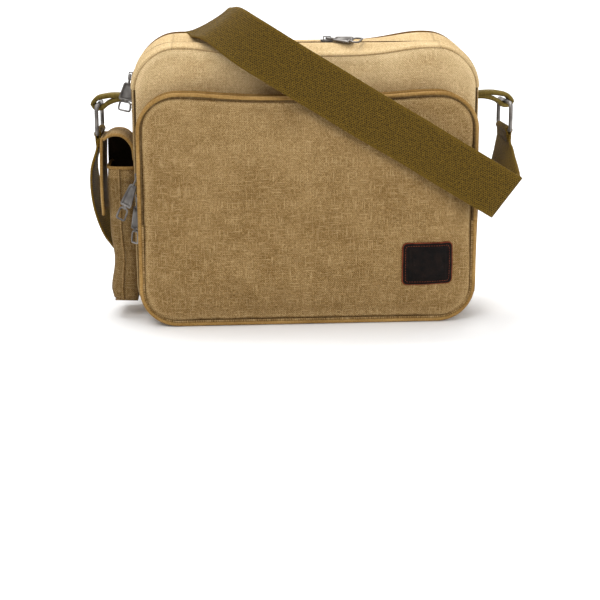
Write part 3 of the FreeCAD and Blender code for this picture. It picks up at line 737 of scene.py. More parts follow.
def make_main_gusset():
    """The sides and the bottom in one strip of canvas."""
    path, normals = run(HALF, 0, LOW_CORNER, TOP - HIGH_CORNER, 190)
    depths = np.linspace(FRONT_SEAM, BACK_SEAM, 25)
    middle, reach = (FRONT_SEAM + BACK_SEAM) / 2, (BACK_SEAM - FRONT_SEAM) / 2
    rise = smooth((path[:, 1] - 18) / 50)
    arc = 1 - ((depths - middle) / reach) ** 2
    ripple = 0.8 * np.sin(path[:, 1] / 17.0)[None, :] * np.cos((depths - middle) / 11.0)[:, None]
    near_seam = reach - np.abs(depths - middle)
    roll = 2.0 * np.exp(-near_seam / 2.4)
    offsets = (2.4 * arc[:, None] + ripple * arc[:, None]) * rise - roll[:, None]
    grid = slump(band(path, normals, depths, offsets))
    # Paler rubbed wear beside the seams and painted shade along them.
    wear_and_shading = across_rows(0.6 * bump(near_seam, 4, 3) - 1.1 * np.exp(-near_seam), len(path))
    dress(cloth("main_side_and_bottom", grid, 1.8, flip=True, wear_and_shading=wear_and_shading), CANVAS, on="bag",
          stands_for=("main_gusset",))


def make_mouth():
    """The canvas either side of the top zip: two leaves meeting at the closed zip, and the fixed strips at
    the corners.
    """
    path, normals = run(HALF, TOP, HIGH_CORNER, TOP - HIGH_CORNER, 240)
    left = path[:, 0] <= -HALF + HIGH_CORNER + 0.5
    right = path[:, 0] >= HALF - HIGH_CORNER - 0.5
    leaf = np.stack([np.linspace(path[left][-1, 0], path[right][0, 0], 90), np.full(90, TOP)], axis=1)
    up = np.tile((0.0, 1.0), (90, 1))
    strips = (("front", FRONT_SEAM, ZIP_FRONT - 0.8), ("back", ZIP_BACK + 0.8, BACK_SEAM))
    for end, near, far in strips:
        depths = np.linspace(near, far, 12)
        share = (depths - near) / (far - near)
        seam = np.abs(depths - (FRONT_SEAM if end == "front" else BACK_SEAM))
        puff = 2.2 * np.sin(math.pi * share) - 2.2 * np.exp(-seam / 2.4)
        # Painted top light over the whole strip, paler rubbed wear beside the seams and painted shade along
        # them.
        wear_and_shading = 0.35 + 0.4 * bump(seam, 4, 3) - 0.8 * np.exp(-seam)
        grid = slump(band(leaf, up, depths, puff))
        start, stop = (near, far) if end == "front" else (far, near)
        dress(cloth(f"mouth_{end}_cloth", grid, 1.8, wear_and_shading=across_rows(wear_and_shading, len(leaf))), LIT_CANVAS,
              bends=("bag", f"mouth_{end}", (0, start * MM, TOP * MM), (0, stop * MM, TOP * MM)))
        for side, mask in (("left", left), ("right", right)):
            corner = slump(band(path[mask], normals[mask], depths, puff))
            stands = ("main_corner_strips",) if (end, side) == ("front", "left") else ()
            piece = cloth(f"corner_{end}_{side}_cloth", corner, 1.8, wear_and_shading=across_rows(wear_and_shading, mask.sum()))
            dress(piece, LIT_CANVAS, on="bag", stands_for=stands)
    make_zip("main_zip", leaf, up, ZIP_Y, -0.9, ("mouth_front", "mouth_back"),
             (("mouth_front_leaf",), ("mouth_back_leaf",)))
    for side, mask in (("left", left), ("right", right)):
        nodes = ("main_corner_zip_rows",) if side == "left" else ()
        make_zip(f"main_zip_{side}", path[mask], normals[mask], ZIP_Y, -0.9, ("bag", "bag"), (nodes, ()))


def make_main_compartment():
    """Walls, gusset, mouth and the piping on the back's top seam."""
    make_main_wall("front_wall", FRONT_SEAM, -1, "main_front_wall")
    make_main_wall("back_wall", BACK_SEAM, 1, "main_back_wall")
    make_main_gusset()
    make_mouth()
    path, normals = run(HALF, TOP, HIGH_CORNER, 60, 240)
    ridge = slump(along(path, normals, BACK_SEAM - 0.4, 0.2))
    dress(tube("back_top_piping", ridge, 1.7), DARK_TAPE, on="bag")


# ---------------------------------------------------------------- front and back compartments
def box_run(edge, cut, offset, count=190):
    """A run round a front or back compartment, offset outwards."""
    outer_edge = edge + (offset if edge > cut else -offset)
    return run(BOX_HALF + offset, outer_edge, BOX_CORNER + offset, cut, count)


def make_zip_box(end, face, zip_y, wall, fold, pressure):
    """A compartment with one crowned panel across the fold, its gusset, zip and pipings."""
    outwards = -1 if face < wall else 1
    flap = f"{end}_flap"
    x, z, edge = rounded_grid(BOX_HALF + 1, BOX_LOW - 1, BOX_HIGH + 1, BOX_CORNER, BOX_CORNER, 89, 61)
    crown = 3.4 * (1 - np.exp(-edge / 26)) - 2.4 * np.exp(-edge / 2.2)
    grid = np.stack([x, face + outwards * crown, z], axis=2)
    grid = settle(grid[::-outwards], pressure)[::-outwards]  # the pressure acts towards the outer side
    grid[..., 1] += outwards * 1.3 * dents(x * 1.1 + 30, z * 0.9) * smooth((edge - 4) / 22)
    grid = slump(grid)
    # Paler rubbed wear near the edge, painted top light rising towards the top and painted shade along the
    # border seam.
    wear_and_shading = 0.6 * bump(edge, 4.5, 2.5) + 0.22 * smooth((z - 110) / 110) - np.exp(-edge / 0.9)
    panel = cloth(f"{end}_panel", grid, 2.2, flip=outwards > 0, wear_and_shading=wear_and_shading, two_sided=True)
    dress(panel, CANVAS, LINING,
          bends=("bag", flap, (0, face * MM, (fold - 7) * MM), (0, face * MM, (fold + 7) * MM)),
          stands_for=(f"{end}_panel_lower", f"{end}_flap_panel"))

    low, low_out = box_run(BOX_LOW, fold, 1.6)
    high, high_out = box_run(BOX_HIGH, fold, 1.6, 230)
    depths = np.linspace(face, wall, 11)
    arc = np.sin(math.pi * np.linspace(0, 1, 11))
    lower = cloth(f"{end}_gusset_low", sorted_rows(band(low, low_out, depths, 0.9 * arc), depths), 1.8,
                  flip=True)
    dress(lower, CANVAS, on="bag", stands_for=(f"{end}_gusset",))
    zip_gap = outwards * 3.4
    for part, start, stop, body, nodes in (("flap", face, zip_y + zip_gap, flap, (f"{end}_flap_side",)),
                                           ("fixed", zip_y - zip_gap, wall, "bag", ())):
        steps = np.linspace(start, stop, 7)
        offsets = 0.6 * np.sin(math.pi * np.linspace(0, 1, 7))
        strip = sorted_rows(slump(band(high, high_out, steps, offsets)), steps)
        # The strips are paler all along, and painted shade darkens them next to their seams.
        near_edge = np.minimum(np.abs(steps - start), np.abs(steps - stop))[np.argsort(steps)]
        wear_and_shading_share = across_rows(0.3 - np.exp(-near_edge / 0.8), strip.shape[1])
        dress(cloth(f"{end}_gusset_{part}", strip, 1.6, wear_and_shading=wear_and_shading_share), CANVAS, on=body, stands_for=nodes)
    bodies = (flap, "bag") if outwards < 0 else ("bag", flap)
    rows = ((f"{end}_flap_zip_row",), (f"{end}_zip_fixed_row",))
    make_zip(f"{end}_zip", high, high_out, zip_y, -0.4, bodies, rows if outwards < 0 else rows[::-1],
             reach=4.2)

    def line(edge_z, y, count):
        path, normals = box_run(edge_z, fold, 3.55, count)
        return slump(along(path, normals, y, 0.0))

    near, far = face - outwards, wall + outwards * 1.6
    dress(tube(f"{end}_flap_piping", line(BOX_HIGH, near, 230), 1.95), PIPING, on=flap,
          stands_for=(f"{end}_flap_piping",))
    dress(tube(f"{end}_low_piping", line(BOX_LOW, near, 190), 1.95), PIPING, on="bag",
          stands_for=(f"{end}_pipings",))
    over, under = line(BOX_HIGH, far, 230), line(BOX_LOW, far, 190)
    loop = np.concatenate([over, under[::-1][1:-1]])
    dress(tube(f"{end}_wall_piping", loop, 1.8, closed=True), PIPING, on="bag")
    return grid


def sorted_rows(grid, depths):
    """Rows in order of rising y, so that a cloth's outer side faces away from the bag."""
    return grid if depths[-1] > depths[0] else grid[::-1]


# ---------------------------------------------------------------- things sewn flat on a wall
def slab(name, left, right, low, high, base, outwards, radius, crown, open_top=False, slumped=True,
         material=CANVAS, on="bag", stands_for=(), wear_and_shading=0.1):
    """A pocket or panel sewn on a wall, whose depth base is a number or a function of x and z: flat at
    its border and slightly full in the middle."""
    columns, rows = int(max(9, (right - left) / 5)), int(max(7, (high - low) / 5))
    half, middle = (right - left) / 2, (left + right) / 2
    x, z, edge = rounded_grid(half, low, high, radius, radius, columns, rows)
    if open_top:
        edge = np.minimum(half - np.abs(x), z - low)
    lift = 0.35 + crown * (1 - np.exp(-edge / 7))
    if callable(base):
        base = np.vectorize(base)(x + middle, z)
    grid = np.stack([x + middle, base + outwards * lift, z], axis=2)
    if slumped:
        grid = slump(grid)
    wear_and_shading_share = wear_and_shading + 0.5 * np.exp(-edge / 2.5)
    piece = cloth(name, grid, min(1.4, 0.9 + crown), flip=outwards > 0, wear_and_shading=wear_and_shading_share)
    dress(piece, material, on=on, stands_for=stands_for)


def loop_line(half, low, high, radius, y):
    """A closed line at depth y, round a rectangle with round corners."""
    upper, lower = (run(half, edge, radius, (low + high) / 2, 80)[0] for edge in (high, low))
    ring = np.concatenate([upper, lower[::-1][1:-1]])
    return np.stack([ring[:, 0], np.full(len(ring), y), ring[:, 1]], axis=1)


def bind(name, line, on="bag", stands_for=(), closed=True, thick=2.6, flat=0.6):
    """Flat binding tape along a line."""
    dress(tube(name, line, thick, closed=closed, sides=8, flat=flat), OLIVE_TAPE, on=on,
          stands_for=stands_for)


def bind_rows(label, tapes):
    """Straight tapes over the pockets' edges and partings, each given by its two ends."""
    for index, ends in enumerate(tapes):
        line = slump(np.linspace(ends[0], ends[1], 14))
        bind(f"{label}_{index}", line, closed=False, thick=1.9, flat=0.5)


def small_zip(name, left, right, z, y, outwards, on):
    """A short closed zip let into a pocket, with its tape."""
    facing = np.array((0, outwards, 0))
    rows = np.linspace(-5, 5, 3)
    x = np.linspace(left, right, 40)
    ground = np.broadcast_to(np.asarray([y(place, z) for place in x] if callable(y) else y, float), (40,))
    grid = np.stack([np.tile(x, (3, 1)), np.tile(ground + outwards * 0.7, (3, 1)),
                     z + rows[:, None] * np.ones(40)], axis=2)
    line = np.stack([x, ground + outwards * 1.2, np.full(40, z)], axis=1)
    if not callable(y):
        grid, line = slump(grid), slump(line)
    dress(cloth(f"{name}_tape", grid, 0.7, flip=outwards > 0), DARK_TAPE, on=on)
    spots, ahead = walk(line, 2.2)
    places = [(spot + np.array((0, 0, 0.8 if index % 2 else -0.8)), direction, facing)
              for index, (spot, direction) in enumerate(zip(spots, ahead))]
    dress(blocks(f"{name}_teeth", places, (1.5, 3.0, 1.2), 0.8), TEETH, on=on)


def make_front_organizer():
    """The lining panel behind the front compartment: card pockets, a zip pocket and their tapes."""
    wall = FRONT_SEAM - 0.2
    slab("organizer_panel", -146, 146, 18, 214, wall, -1, 12, 0.6, stands_for=("front_organizer_panel",))
    bind("organizer_binding", slump(loop_line(146, 18, 214, 14, wall - 1.2)),
         stands_for=("front_organizer_binding",))
    slab("cards_low", 26, 138, 24, 92, wall - 1.4, -1, 3, 1.0, open_top=True, wear_and_shading=0.0,
         stands_for=("front_card_rows",))
    slab("cards_high", 26, 138, 94, 152, wall - 1.4, -1, 3, 1.0, open_top=True, wear_and_shading=0.0)
    slab("inner_zip_pocket", -136, 8, 24, 138, wall - 1.4, -1, 6, 1.2, stands_for=("front_zip_pocket",))
    small_zip("inner_zip", -130, 4, 125.5, wall - 2.6, -1, "bag")
    tapes = []
    for low, high in ((24, 92), (94, 152)):
        tapes += [[(x, wall - 2.6, low), (x, wall - 2.6, high)] for x in (26, 63, 101, 138)]
        tapes.append([(26, wall - 2.9, high), (138, wall - 2.9, high)])
    tapes.append([(-136, wall - 2.4, 138), (8, wall - 2.4, 138)])
    bind_rows("organizer_tape", tapes)


def make_flap_pocket(depth):
    """Zip pocket sewn to the inner side of the front flap."""
    slab("flap_pocket", -142, 142, 116, 216, lambda x, z: depth(x, z) + 2.3, 1, 10, 1.0, slumped=False,
         material=LINING, on="front_flap", stands_for=("flap_zip_pocket",))
    small_zip("flap_zip", -134, 134, 199.5, lambda x, z: depth(x, z) + 4.1, 1, "front_flap")
    rim = loop_line(142, 116, 216, 10, 0)
    rim[:, 1] = [depth(x, z) + 3.2 for x, _, z in rim]
    bind("flap_pocket_binding", rim, on="front_flap", thick=2.2)


def make_back_organizer():
    """The lining panel behind the back compartment: three rows of pockets, a pen row and a zip pocket."""
    wall = BACK_SEAM + 0.2
    bind("back_binding", slump(loop_line(144, 14, 219, 12, wall + 1.2)),
         stands_for=("back_organizer_binding",))
    slab("back_organizer", -142, 142, 16, 217, wall - 0.2, 1, 10, 0.5)
    for name, low, high, nodes in (("low", 18, 66, ("back_organizer_rows",)), ("middle", 68, 108, ()),
                                   ("high", 110, 148, ())):
        slab(f"back_row_{name}", -100, 138, low, high, wall + 0.6, 1, 3, 1.6, open_top=True, wear_and_shading=0.0,
             stands_for=nodes)
    slab("back_pens", -138, -102, 18, 148, wall + 0.6, 1, 3, 1.4, open_top=True)
    slab("back_zip_pocket", -138, 138, 152, 214, wall + 0.4, 1, 6, 0.8, stands_for=("back_zip_pocket",))
    small_zip("back_inner_zip", -130, 130, 199.5, wall + 1.2, 1, "bag")
    tapes = [[(-100, wall + 2.6, high), (138, wall + 2.6, high)] for high in (66, 108, 148)]
    tapes += [[(x, wall + 2.6, 18), (x, wall + 2.6, 148)] for x in (-138, -120, -102, -20, 60, 138)]
    bind_rows("back_tape", tapes)


# ---------------------------------------------------------------- side pockets
def make_phone_pocket():
    """Deep pocket on the left side, with a bound mouth and a flap that arches over it."""
    low, high = span("left_pocket")
    outer, inner = low[0], high[0]
    front, back, bottom, mouth = low[1], high[1], low[2], high[2]
    reach, half, middle = inner - outer, (back - front) / 2, (front + back) / 2
    heights = np.linspace(bottom, mouth, 34)
    angles = np.linspace(0, math.pi, 41)
    cosine, sine = np.cos(angles), np.sin(angles)
    squareness = 0.42                      # 1 would be round
    grid = np.empty((len(heights), len(angles), 3))
    for row, z in enumerate(heights):
        share = (z - bottom) / (mouth - bottom)
        fill = 0.92 + 0.08 * smooth(share / 0.06) - 0.15 * bump(share, 0.32, 0.17)
        waist = 1 - 0.05 * math.sin(math.pi * share) + 0.02 * smooth((share - 0.8) / 0.2)
        grid[row, :, 0] = inner - reach * fill * np.sign(sine) * np.abs(sine) ** squareness
        grid[row, :, 1] = middle - half * waist * np.sign(cosine) * np.abs(cosine) ** squareness
        grid[row, :, 2] = z + 1.5 * sine * (1 - share)
    crease = 0.9 * np.sin(grid[..., 2] / 9.0 + 0.06 * grid[..., 1]) * sine[None, :]
    grid[..., 0] -= crease * smooth((grid[..., 2] - bottom - 8) / 20) * 0.7
    # Painted shade over the whole pocket, on the side away from the light; its rim is paler with rubbed
    # wear and its inside takes the painted shade lining.
    wear_and_shading = np.full(grid.shape[:2], -0.28)
    wear_and_shading[-3:] = 0.2
    dress(cloth("phone_pocket", grid, 1.8, flip=True, wear_and_shading=wear_and_shading, two_sided=True), CANVAS, PAINTED_SHADE_LINING,
          on="bag", stands_for=("left_pocket",))
    rim = grid[-1] + (0, 0, 0.4)
    dress(tube("phone_pocket_rim", rim, 1.7, sides=8), PIPING, on="bag")
    for end, column, shift in (("front", 3, -0.6), ("back", -4, 0.6)):
        seam = grid[:, column] + (-0.2, shift, 0)
        dress(tube(f"phone_pocket_{end}_seam", seam, 1.2, sides=8), CANVAS, on="bag")
    floor = np.stack([np.linspace((x, front + inset, z), (x, back - inset, z), 9)
                      for x, inset, z in ((inner, 2, bottom), (outer + 5, 3, bottom + 0.6))])
    dress(cloth("phone_pocket_floor", floor, 1.6), CANVAS, on="bag")

    tail_low, tail_high = span("left_pocket_flap")
    arch_high = span("left_pocket_arch")[1]
    root, fall, hinge, tip = inner - 0.2, tail_low[0] + 0.3, tail_high[2], tail_low[2]
    line = curve_through([(root, 166), (root - 2, 180), (root - 12, arch_high[2] - 2.4),
                          (fall + 9, arch_high[2] - 1.8), (fall + 1.5, hinge + 1)], 30)
    span_y = np.linspace(tail_low[1] + 0.5, tail_high[1] - 0.5, 19)
    dome = 1 - np.abs((span_y - middle) / (tail_high[1] - middle)) ** 2.6
    over = np.empty((len(span_y), len(line), 3))
    over[..., 0] = line[:, 0]
    over[..., 1] = span_y[:, None]
    over[..., 2] = line[:, 1] + dome[:, None] * 2.2 - 2.2
    # The arch's underside takes the painted shade lining.
    arch = cloth("pocket_arch", over[::-1], 1.7, two_sided=True, wear_and_shading=np.full(over.shape[:2], 0.25))
    dress(arch, CANVAS, PAINTED_SHADE_LINING, on="bag", stands_for=("left_pocket_arch",))
    # A sheet in painted shade closes the back of the arch, where shade shows through it.
    cheek_x = np.linspace(fall + 1.8, root, 9)
    cheek_low = mouth - 14
    rising = np.linspace(0, 1, 9)[:, None]
    roof = np.interp(-cheek_x, -line[:, 0], line[:, 1]) - 3.5
    cheek = np.empty((9, 9, 3))
    cheek[..., 0] = cheek_x
    cheek[..., 1] = span_y[-1] - 1.5 - 1.5 * np.sin(math.pi * rising)
    cheek[..., 2] = cheek_low + (roof - cheek_low) * rising
    dress(cloth("pocket_arch_cheek_painted_shade", cheek, 1.2), PAINTED_SHADE_LINING, on="bag")
    depths = np.linspace(hinge + 0.6, tip, 24)
    tail = np.empty((len(span_y), len(depths), 3))
    share = (hinge - depths) / (hinge - tip)
    narrow = 1 - 0.4 * np.clip(share - 0.75, 0, 1)
    tail[..., 0] = fall - 1.2 * np.sin(math.pi * share * 0.9) - dome[:, None] * 1.4
    tail[..., 1] = middle + (span_y[:, None] - middle) * narrow
    tail[..., 2] = depths
    flap = cloth("pocket_tail", tail[::-1], 1.7, two_sided=True, wear_and_shading=np.full(tail.shape[:2], 0.3))
    dress(flap, CANVAS, LINING, on="pocket_flap", stands_for=("left_pocket_flap",))
    edge = np.concatenate([tail[0], tail[1:-1, -1], tail[-1][::-1]])
    dress(tube("pocket_tail_binding", edge, 1.5, sides=8), PIPING, on="pocket_flap")
    for side, row in (("front", 0), ("back", -1)):
        dress(tube(f"pocket_arch_binding_{side}", over[row], 1.5, sides=8), PIPING, on="bag")


def make_slip_pocket():
    """Open pocket on the right side, standing off the gusset towards its mouth."""
    low, high = span("right_pocket")
    middle, half = (low[1] + high[1]) / 2, (high[1] - low[1]) / 2
    y, z = np.meshgrid(np.linspace(-half, half, 25), np.linspace(low[2], high[2], 32))
    edge = np.minimum(half - np.abs(y), z - low[2])
    open_share = smooth((z - low[2]) / (high[2] - low[2]))
    swell = (2.6 + 5.2 * open_share * (1 - (y / half) ** 2)) * (1 - np.exp(-edge / 6))
    grid = np.stack([HALF + 1.8 + swell, y + middle, z], axis=2)
    wear_and_shading = 0.5 * np.exp(-edge / 3) + 0.4 * smooth((z - high[2] + 6) / 6)
    dress(cloth("slip_pocket", grid, 1.8, two_sided=True, wear_and_shading=wear_and_shading), CANVAS, LINING, on="bag",
          stands_for=("right_pocket",))
    rim = grid[-1] + (0.2, 0, 0.3)
    dress(tube("slip_pocket_rim", rim, 1.6, sides=8), PIPING, on="bag")


# ---------------------------------------------------------------- patch, loops, strap and small fittings
def surface_finder(grid):
    """A function giving the depth y of a panel's outer surface at x, z."""
    corners = [Vector(point) for point in grid.reshape(-1, 3)]
    tree = BVHTree.FromPolygons(corners, quad_faces(*grid.shape[:2]))

    def depth(x, z):
        """The first hit of a ray from well in front of the panel."""
        hit = tree.ray_cast(Vector((x, FRONT_FACE - 60, z)), Vector((0, 1, 0)))[0]
        return hit.y if hit else FRONT_FACE
    return depth


def make_patch(depth):
    """Leather label with a raised rim, two tooled lines, stitches and a burnished edge; no mark on it."""
    low, high = span("leather_patch")
    half, tall = (high[0] - low[0]) / 2, (high[2] - low[2]) / 2
    middle, centre = (low[0] + high[0]) / 2, (low[2] + high[2]) / 2
    x, z, edge = rounded_grid(half, -tall, tall, 4.5, 4.5, 71, 61)
    dip = 0.45 * bump(edge, 5.2, 0.7) + 0.35 * bump(edge, 9.0, 0.6)
    pillow = 0.5 * (1 - np.exp(-edge / 2.0))
    ground = np.vectorize(depth)(x + middle, z + centre)
    grid = np.stack([x + middle, ground - 1.5 - pillow + dip, z + centre], axis=2)
    dress(cloth("leather_label", grid, 1.5), LEATHER, on="bag", stands_for=("leather_patch",))
    rim = np.concatenate([grid[0], grid[1:, -1], grid[-1][::-1][1:], grid[::-1, 0][1:-1]])
    edging = tube("leather_label_edge", rim + (0, 0.75, 0), 0.85, closed=True, sides=8)
    dress(edging, LEATHER_EDGE, on="bag")
    inset, last = 2.7, 40
    x, z, _ = rounded_grid(half - inset, -tall + inset, tall - inset, 3, 3, last + 1, last + 1)
    border = ([(0, c) for c in range(last)] + [(r, last) for r in range(last)] +
              [(last, c) for c in range(last, 0, -1)] + [(r, 0) for r in range(last, 0, -1)])
    line = [(x[spot] + middle, z[spot] + centre) for spot in border]
    seam = np.array([(px, depth(px, pz) - 2.05, pz) for px, pz in line])
    spots, ahead = walk(seam, 2.6, closed=True)
    places = [(spot, direction, (0, -1, 0)) for spot, direction in zip(spots, ahead)]
    dress(blocks("leather_label_stitches", places, (1.7, 0.5, 0.5), 0.8), LEATHER_EDGE, on="bag")


def make_loop(label, side):
    """Rolled webbing that holds the ring's upper bar off the gusset."""
    ring_low, ring_high = span(f"{label}_ring")
    bar_x, bar_z = (ring_low[0] + ring_high[0]) / 2, ring_high[2] - 2
    low, high = span(f"{label}_loop")
    bar = abs(bar_x)
    route = [(HALF - 2, 9.0), (HALF + 12, 11.0), (bar - 7, 10.6), (bar + 3, 7.6), (bar + 7.8, 0.8),
             (bar + 4.4, -5.6), (bar - 3, -6.4), (bar - 11, -1.0), (HALF + 13, 2.6), (HALF - 2, 1.4)]
    line = curve_through([(x, bar_z + rise) for x, rise in route], 64)
    rows = np.linspace(low[1] + 0.6, high[1] - 0.6, 11)
    grid = np.empty((len(rows), len(line), 3))
    grid[..., 0] = side * line[:, 0]
    grid[..., 1] = rows[:, None]
    upper = np.where(np.arange(len(line)) < len(line) / 2, 1, -1)
    grid[..., 2] = line[:, 1] - upper * np.abs(np.linspace(-1, 1, len(rows)))[:, None] ** 4
    dress(cloth(f"{label}_webbing_loop", grid, 4.0, flip=side < 0), OLIVE_TAPE, on="bag",
          stands_for=(f"{label}_loop",))
    plate_y, plate_z = np.meshgrid(np.linspace(rows[0] - 5, rows[-1] + 5, 11),
                                   np.linspace(bar_z - 10, bar_z + 15, 11))
    plate = np.stack([np.full(plate_y.shape, side * (HALF + 2.6)), plate_y, plate_z], axis=2)
    dress(cloth(f"{label}_loop_patch", plate, 1.4, flip=side < 0), CANVAS, on="bag")
    near, far = rows[0] - 3, rows[-1] + 3
    box = [(near, -8), (far, -8), (far, 13), (near, 13), (near, -8)]
    box = np.array([(side * (HALF + 2.9), y, bar_z + rise) for y, rise in box])
    threads(f"{label}_loop_stitches", box, (side, 0, 0), PIPING)


# the strap's two halves: x, y and z of the middle line, then the direction across the webbing; the front
# half's is shorter than 1 where the webbing is turned edge on
FRONT_STATIONS = (
    (-93.5, 4.7, 298.5, 0.80, 0.10, 0.58),
    (-82, -30, 298.5, 0.74, 0.10, 0.64),
    (-60, -55, 284.5, 0.56, 0.05, 0.83),
    (-20, -69, 260, 0.49, 0.00, 0.87),
    (20, -72.5, 236, 0.49, 0.00, 0.87),
    (60, -74, 211.5, 0.49, 0.00, 0.87),
    (100, -74.5, 188, 0.50, 0.00, 0.86),
    (140, -75.5, 163.5, 0.51, 0.00, 0.86),
    (170, -77, 145.5, 0.56, 0.00, 0.83),
    (188, -77.5, 134.5, 0.60, 0.00, 0.80),
    (192.8, -76.2, 131.6, 0.60, 0.00, 0.80),
    (194.4, -73.6, 130.8, 0.60, 0.00, 0.80),
    (193.6, -70.6, 131.6, 0.60, 0.00, 0.80),
    (195, -56, 137, 0.55, -0.22, 0.74),
    (197.5, -38, 146, 0.46, -0.48, 0.62),
    (201, -20, 155.5, 0.34, -0.72, 0.44),
    (205.5, -3, 166, 0.20, -0.88, 0.24),
    (209, 9, 176, 0.05, -0.98, 0.05),
    (210, 12, 184.4, 0.00, -1.00, 0.00),
)
BACK_STATIONS = (
    (-93.5, 4.5, 298.5, 0.80, 0.10, 0.58),
    (-99.5, 39, 295.5, 0.88, -0.05, 0.46),
    (-109, 67, 277, 1.00, 0.00, 0.15),
    (-118, 73, 240, 1.00, 0.00, 0.00),
    (-127, 74.5, 180, 1.00, 0.00, 0.00),
    (-140, 75, 122, 0.97, 0.00, 0.20),
    (-160, 74, 84, 0.80, 0.00, 0.60),
    (-186, 66, 70, 0.30, 0.40, 0.85),
    (-206, 50, 84, 0.05, 0.80, 0.60),
    (-218, 30, 122, 0.05, 0.97, 0.25),
    (-217, 15, 156, 0.00, 1.00, 0.00),
    (-211, 12, 176, 0.00, 1.00, 0.00),
    (-210, 12, 184.4, 0.00, 1.00, 0.00),
)


def make_strap_run(name, stations, body, node, flip, squared):
    """Flat webbing through the stations, 50 mm wide, slightly cupped, with rounded selvedges.
    Squared webbing keeps its across direction at right angles to its route."""
    points, across = np.split(curve_through(stations, 280), 2, axis=1)
    tangent = np.gradient(points, axis=0)
    tangent /= np.linalg.norm(tangent, axis=1, keepdims=True)
    if squared:
        across = across - tangent * (across * tangent).sum(axis=1, keepdims=True)
        across /= np.linalg.norm(across, axis=1, keepdims=True)
    shared = np.clip(1 - np.arange(len(points)) / 14, 0, 1)[:, None]
    meeting = np.array((0.805, 0.08, 0.587))     # across, where the two halves meet on the crest
    across = across * (1 - shared) + meeting / np.linalg.norm(meeting) * shared
    bend = np.linalg.norm(np.gradient(tangent, axis=0), axis=1)
    normal = np.cross(tangent, across)
    normal /= np.linalg.norm(normal, axis=1, keepdims=True) * (1 + (bend / 0.04)[:, None] ** 2)
    shares = np.linspace(-1, 1, 17)
    cup = (0.9 * shares ** 4 - 0.5 * (1 - shares ** 2)) * (-1 if flip else 1)
    grid = points[None] + across[None] * shares[:, None, None] * STRAP_HALF_WIDTH + \
        normal[None] * cup[:, None, None]
    grid = grid + grid_normals(grid) * STRAP_THICK / 2
    run_piece = cloth(name, grid, STRAP_THICK, wear_and_shading=across_rows(0.9 * np.abs(shares) ** 14, len(points)))
    dress(run_piece, WEBBING, on=body, stands_for=(node,))
    length = float(np.linalg.norm(np.diff(points, axis=0), axis=1).sum()) * MM
    return length


def make_strap_end(name, ring_x, body):
    """The webbing's end, folded round the ring's lower bar and sewn back on itself."""
    turn = np.linspace(1.25 * math.pi, -0.25 * math.pi, 20)
    line = [(-1.9, -13), (-2.4, -7)] + [(3.7 * math.cos(a), 3.7 * math.sin(a)) for a in turn] + \
        [(2.4, -7), (1.9, -13)]
    rows = np.linspace(RING_Y - 23, RING_Y + 23, 11)
    grid = np.empty((len(rows), len(line), 3))
    grid[..., 0], grid[..., 2] = np.transpose(line) + np.array([[ring_x], [RING_BAR_Z]])
    grid[..., 1] = rows[:, None]
    start, stop = ((ring_x * MM, RING_Y * MM, (RING_BAR_Z - drop) * MM) for drop in (4, 13))
    dress(cloth(name, grid, 1.6), WEBBING, bends=("bag", body, start, stop))


def make_key_tab():
    """Folded webbing that holds the key ring, hanging from the organizer's top."""
    low, high = span("key_tab")
    middle = (low[0] + high[0]) / 2
    line = curve_through([(-34.0, 213.4), (-36.8, 206), (-38.9, 200.6), (-39.6, 197.6), (-41, 196.6),
                          (-42.6, 197.6), (-42.9, 201), (-40.2, 207.4), (-36.0, 213.2)], 40)
    grid = np.empty((5, len(line), 3))
    grid[..., 0] = middle + np.linspace(-4.8, 4.8, 5)[:, None]
    grid[..., 1], grid[..., 2] = line[:, 0], line[:, 1]
    dress(cloth("key_webbing_tab", slump(grid), 1.0), OLIVE_TAPE, on="bag", stands_for=("key_tab",))


def merge(name, pieces):
    """Several meshes as one object without texture coordinates."""
    points, faces = [], []
    for piece in pieces:
        start = len(points)
        points += [vertex.co / MM for vertex in piece.data.vertices]
        faces += [[start + index for index in polygon.vertices] for polygon in piece.data.polygons]
        mesh = piece.data
        bpy.data.objects.remove(piece)
        bpy.data.meshes.remove(mesh)
    return mesh_object(name, points, faces)


def rounded_loop(corners, radius):
    """A closed outline through corners, each rounded by the radius."""
    corners = np.asarray(corners, float)
    line = []
    for before, corner, after in zip(np.roll(corners, 1, axis=0), corners, np.roll(corners, -1, axis=0)):
        entry = corner + (before - corner) / np.linalg.norm(before - corner) * radius
        leave = corner + (after - corner) / np.linalg.norm(after - corner) * radius
        for t in np.linspace(0, 1, 5):
            line.append((1 - t) ** 2 * entry + 2 * t * (1 - t) * corner + t ** 2 * leave)
    return np.array(line)


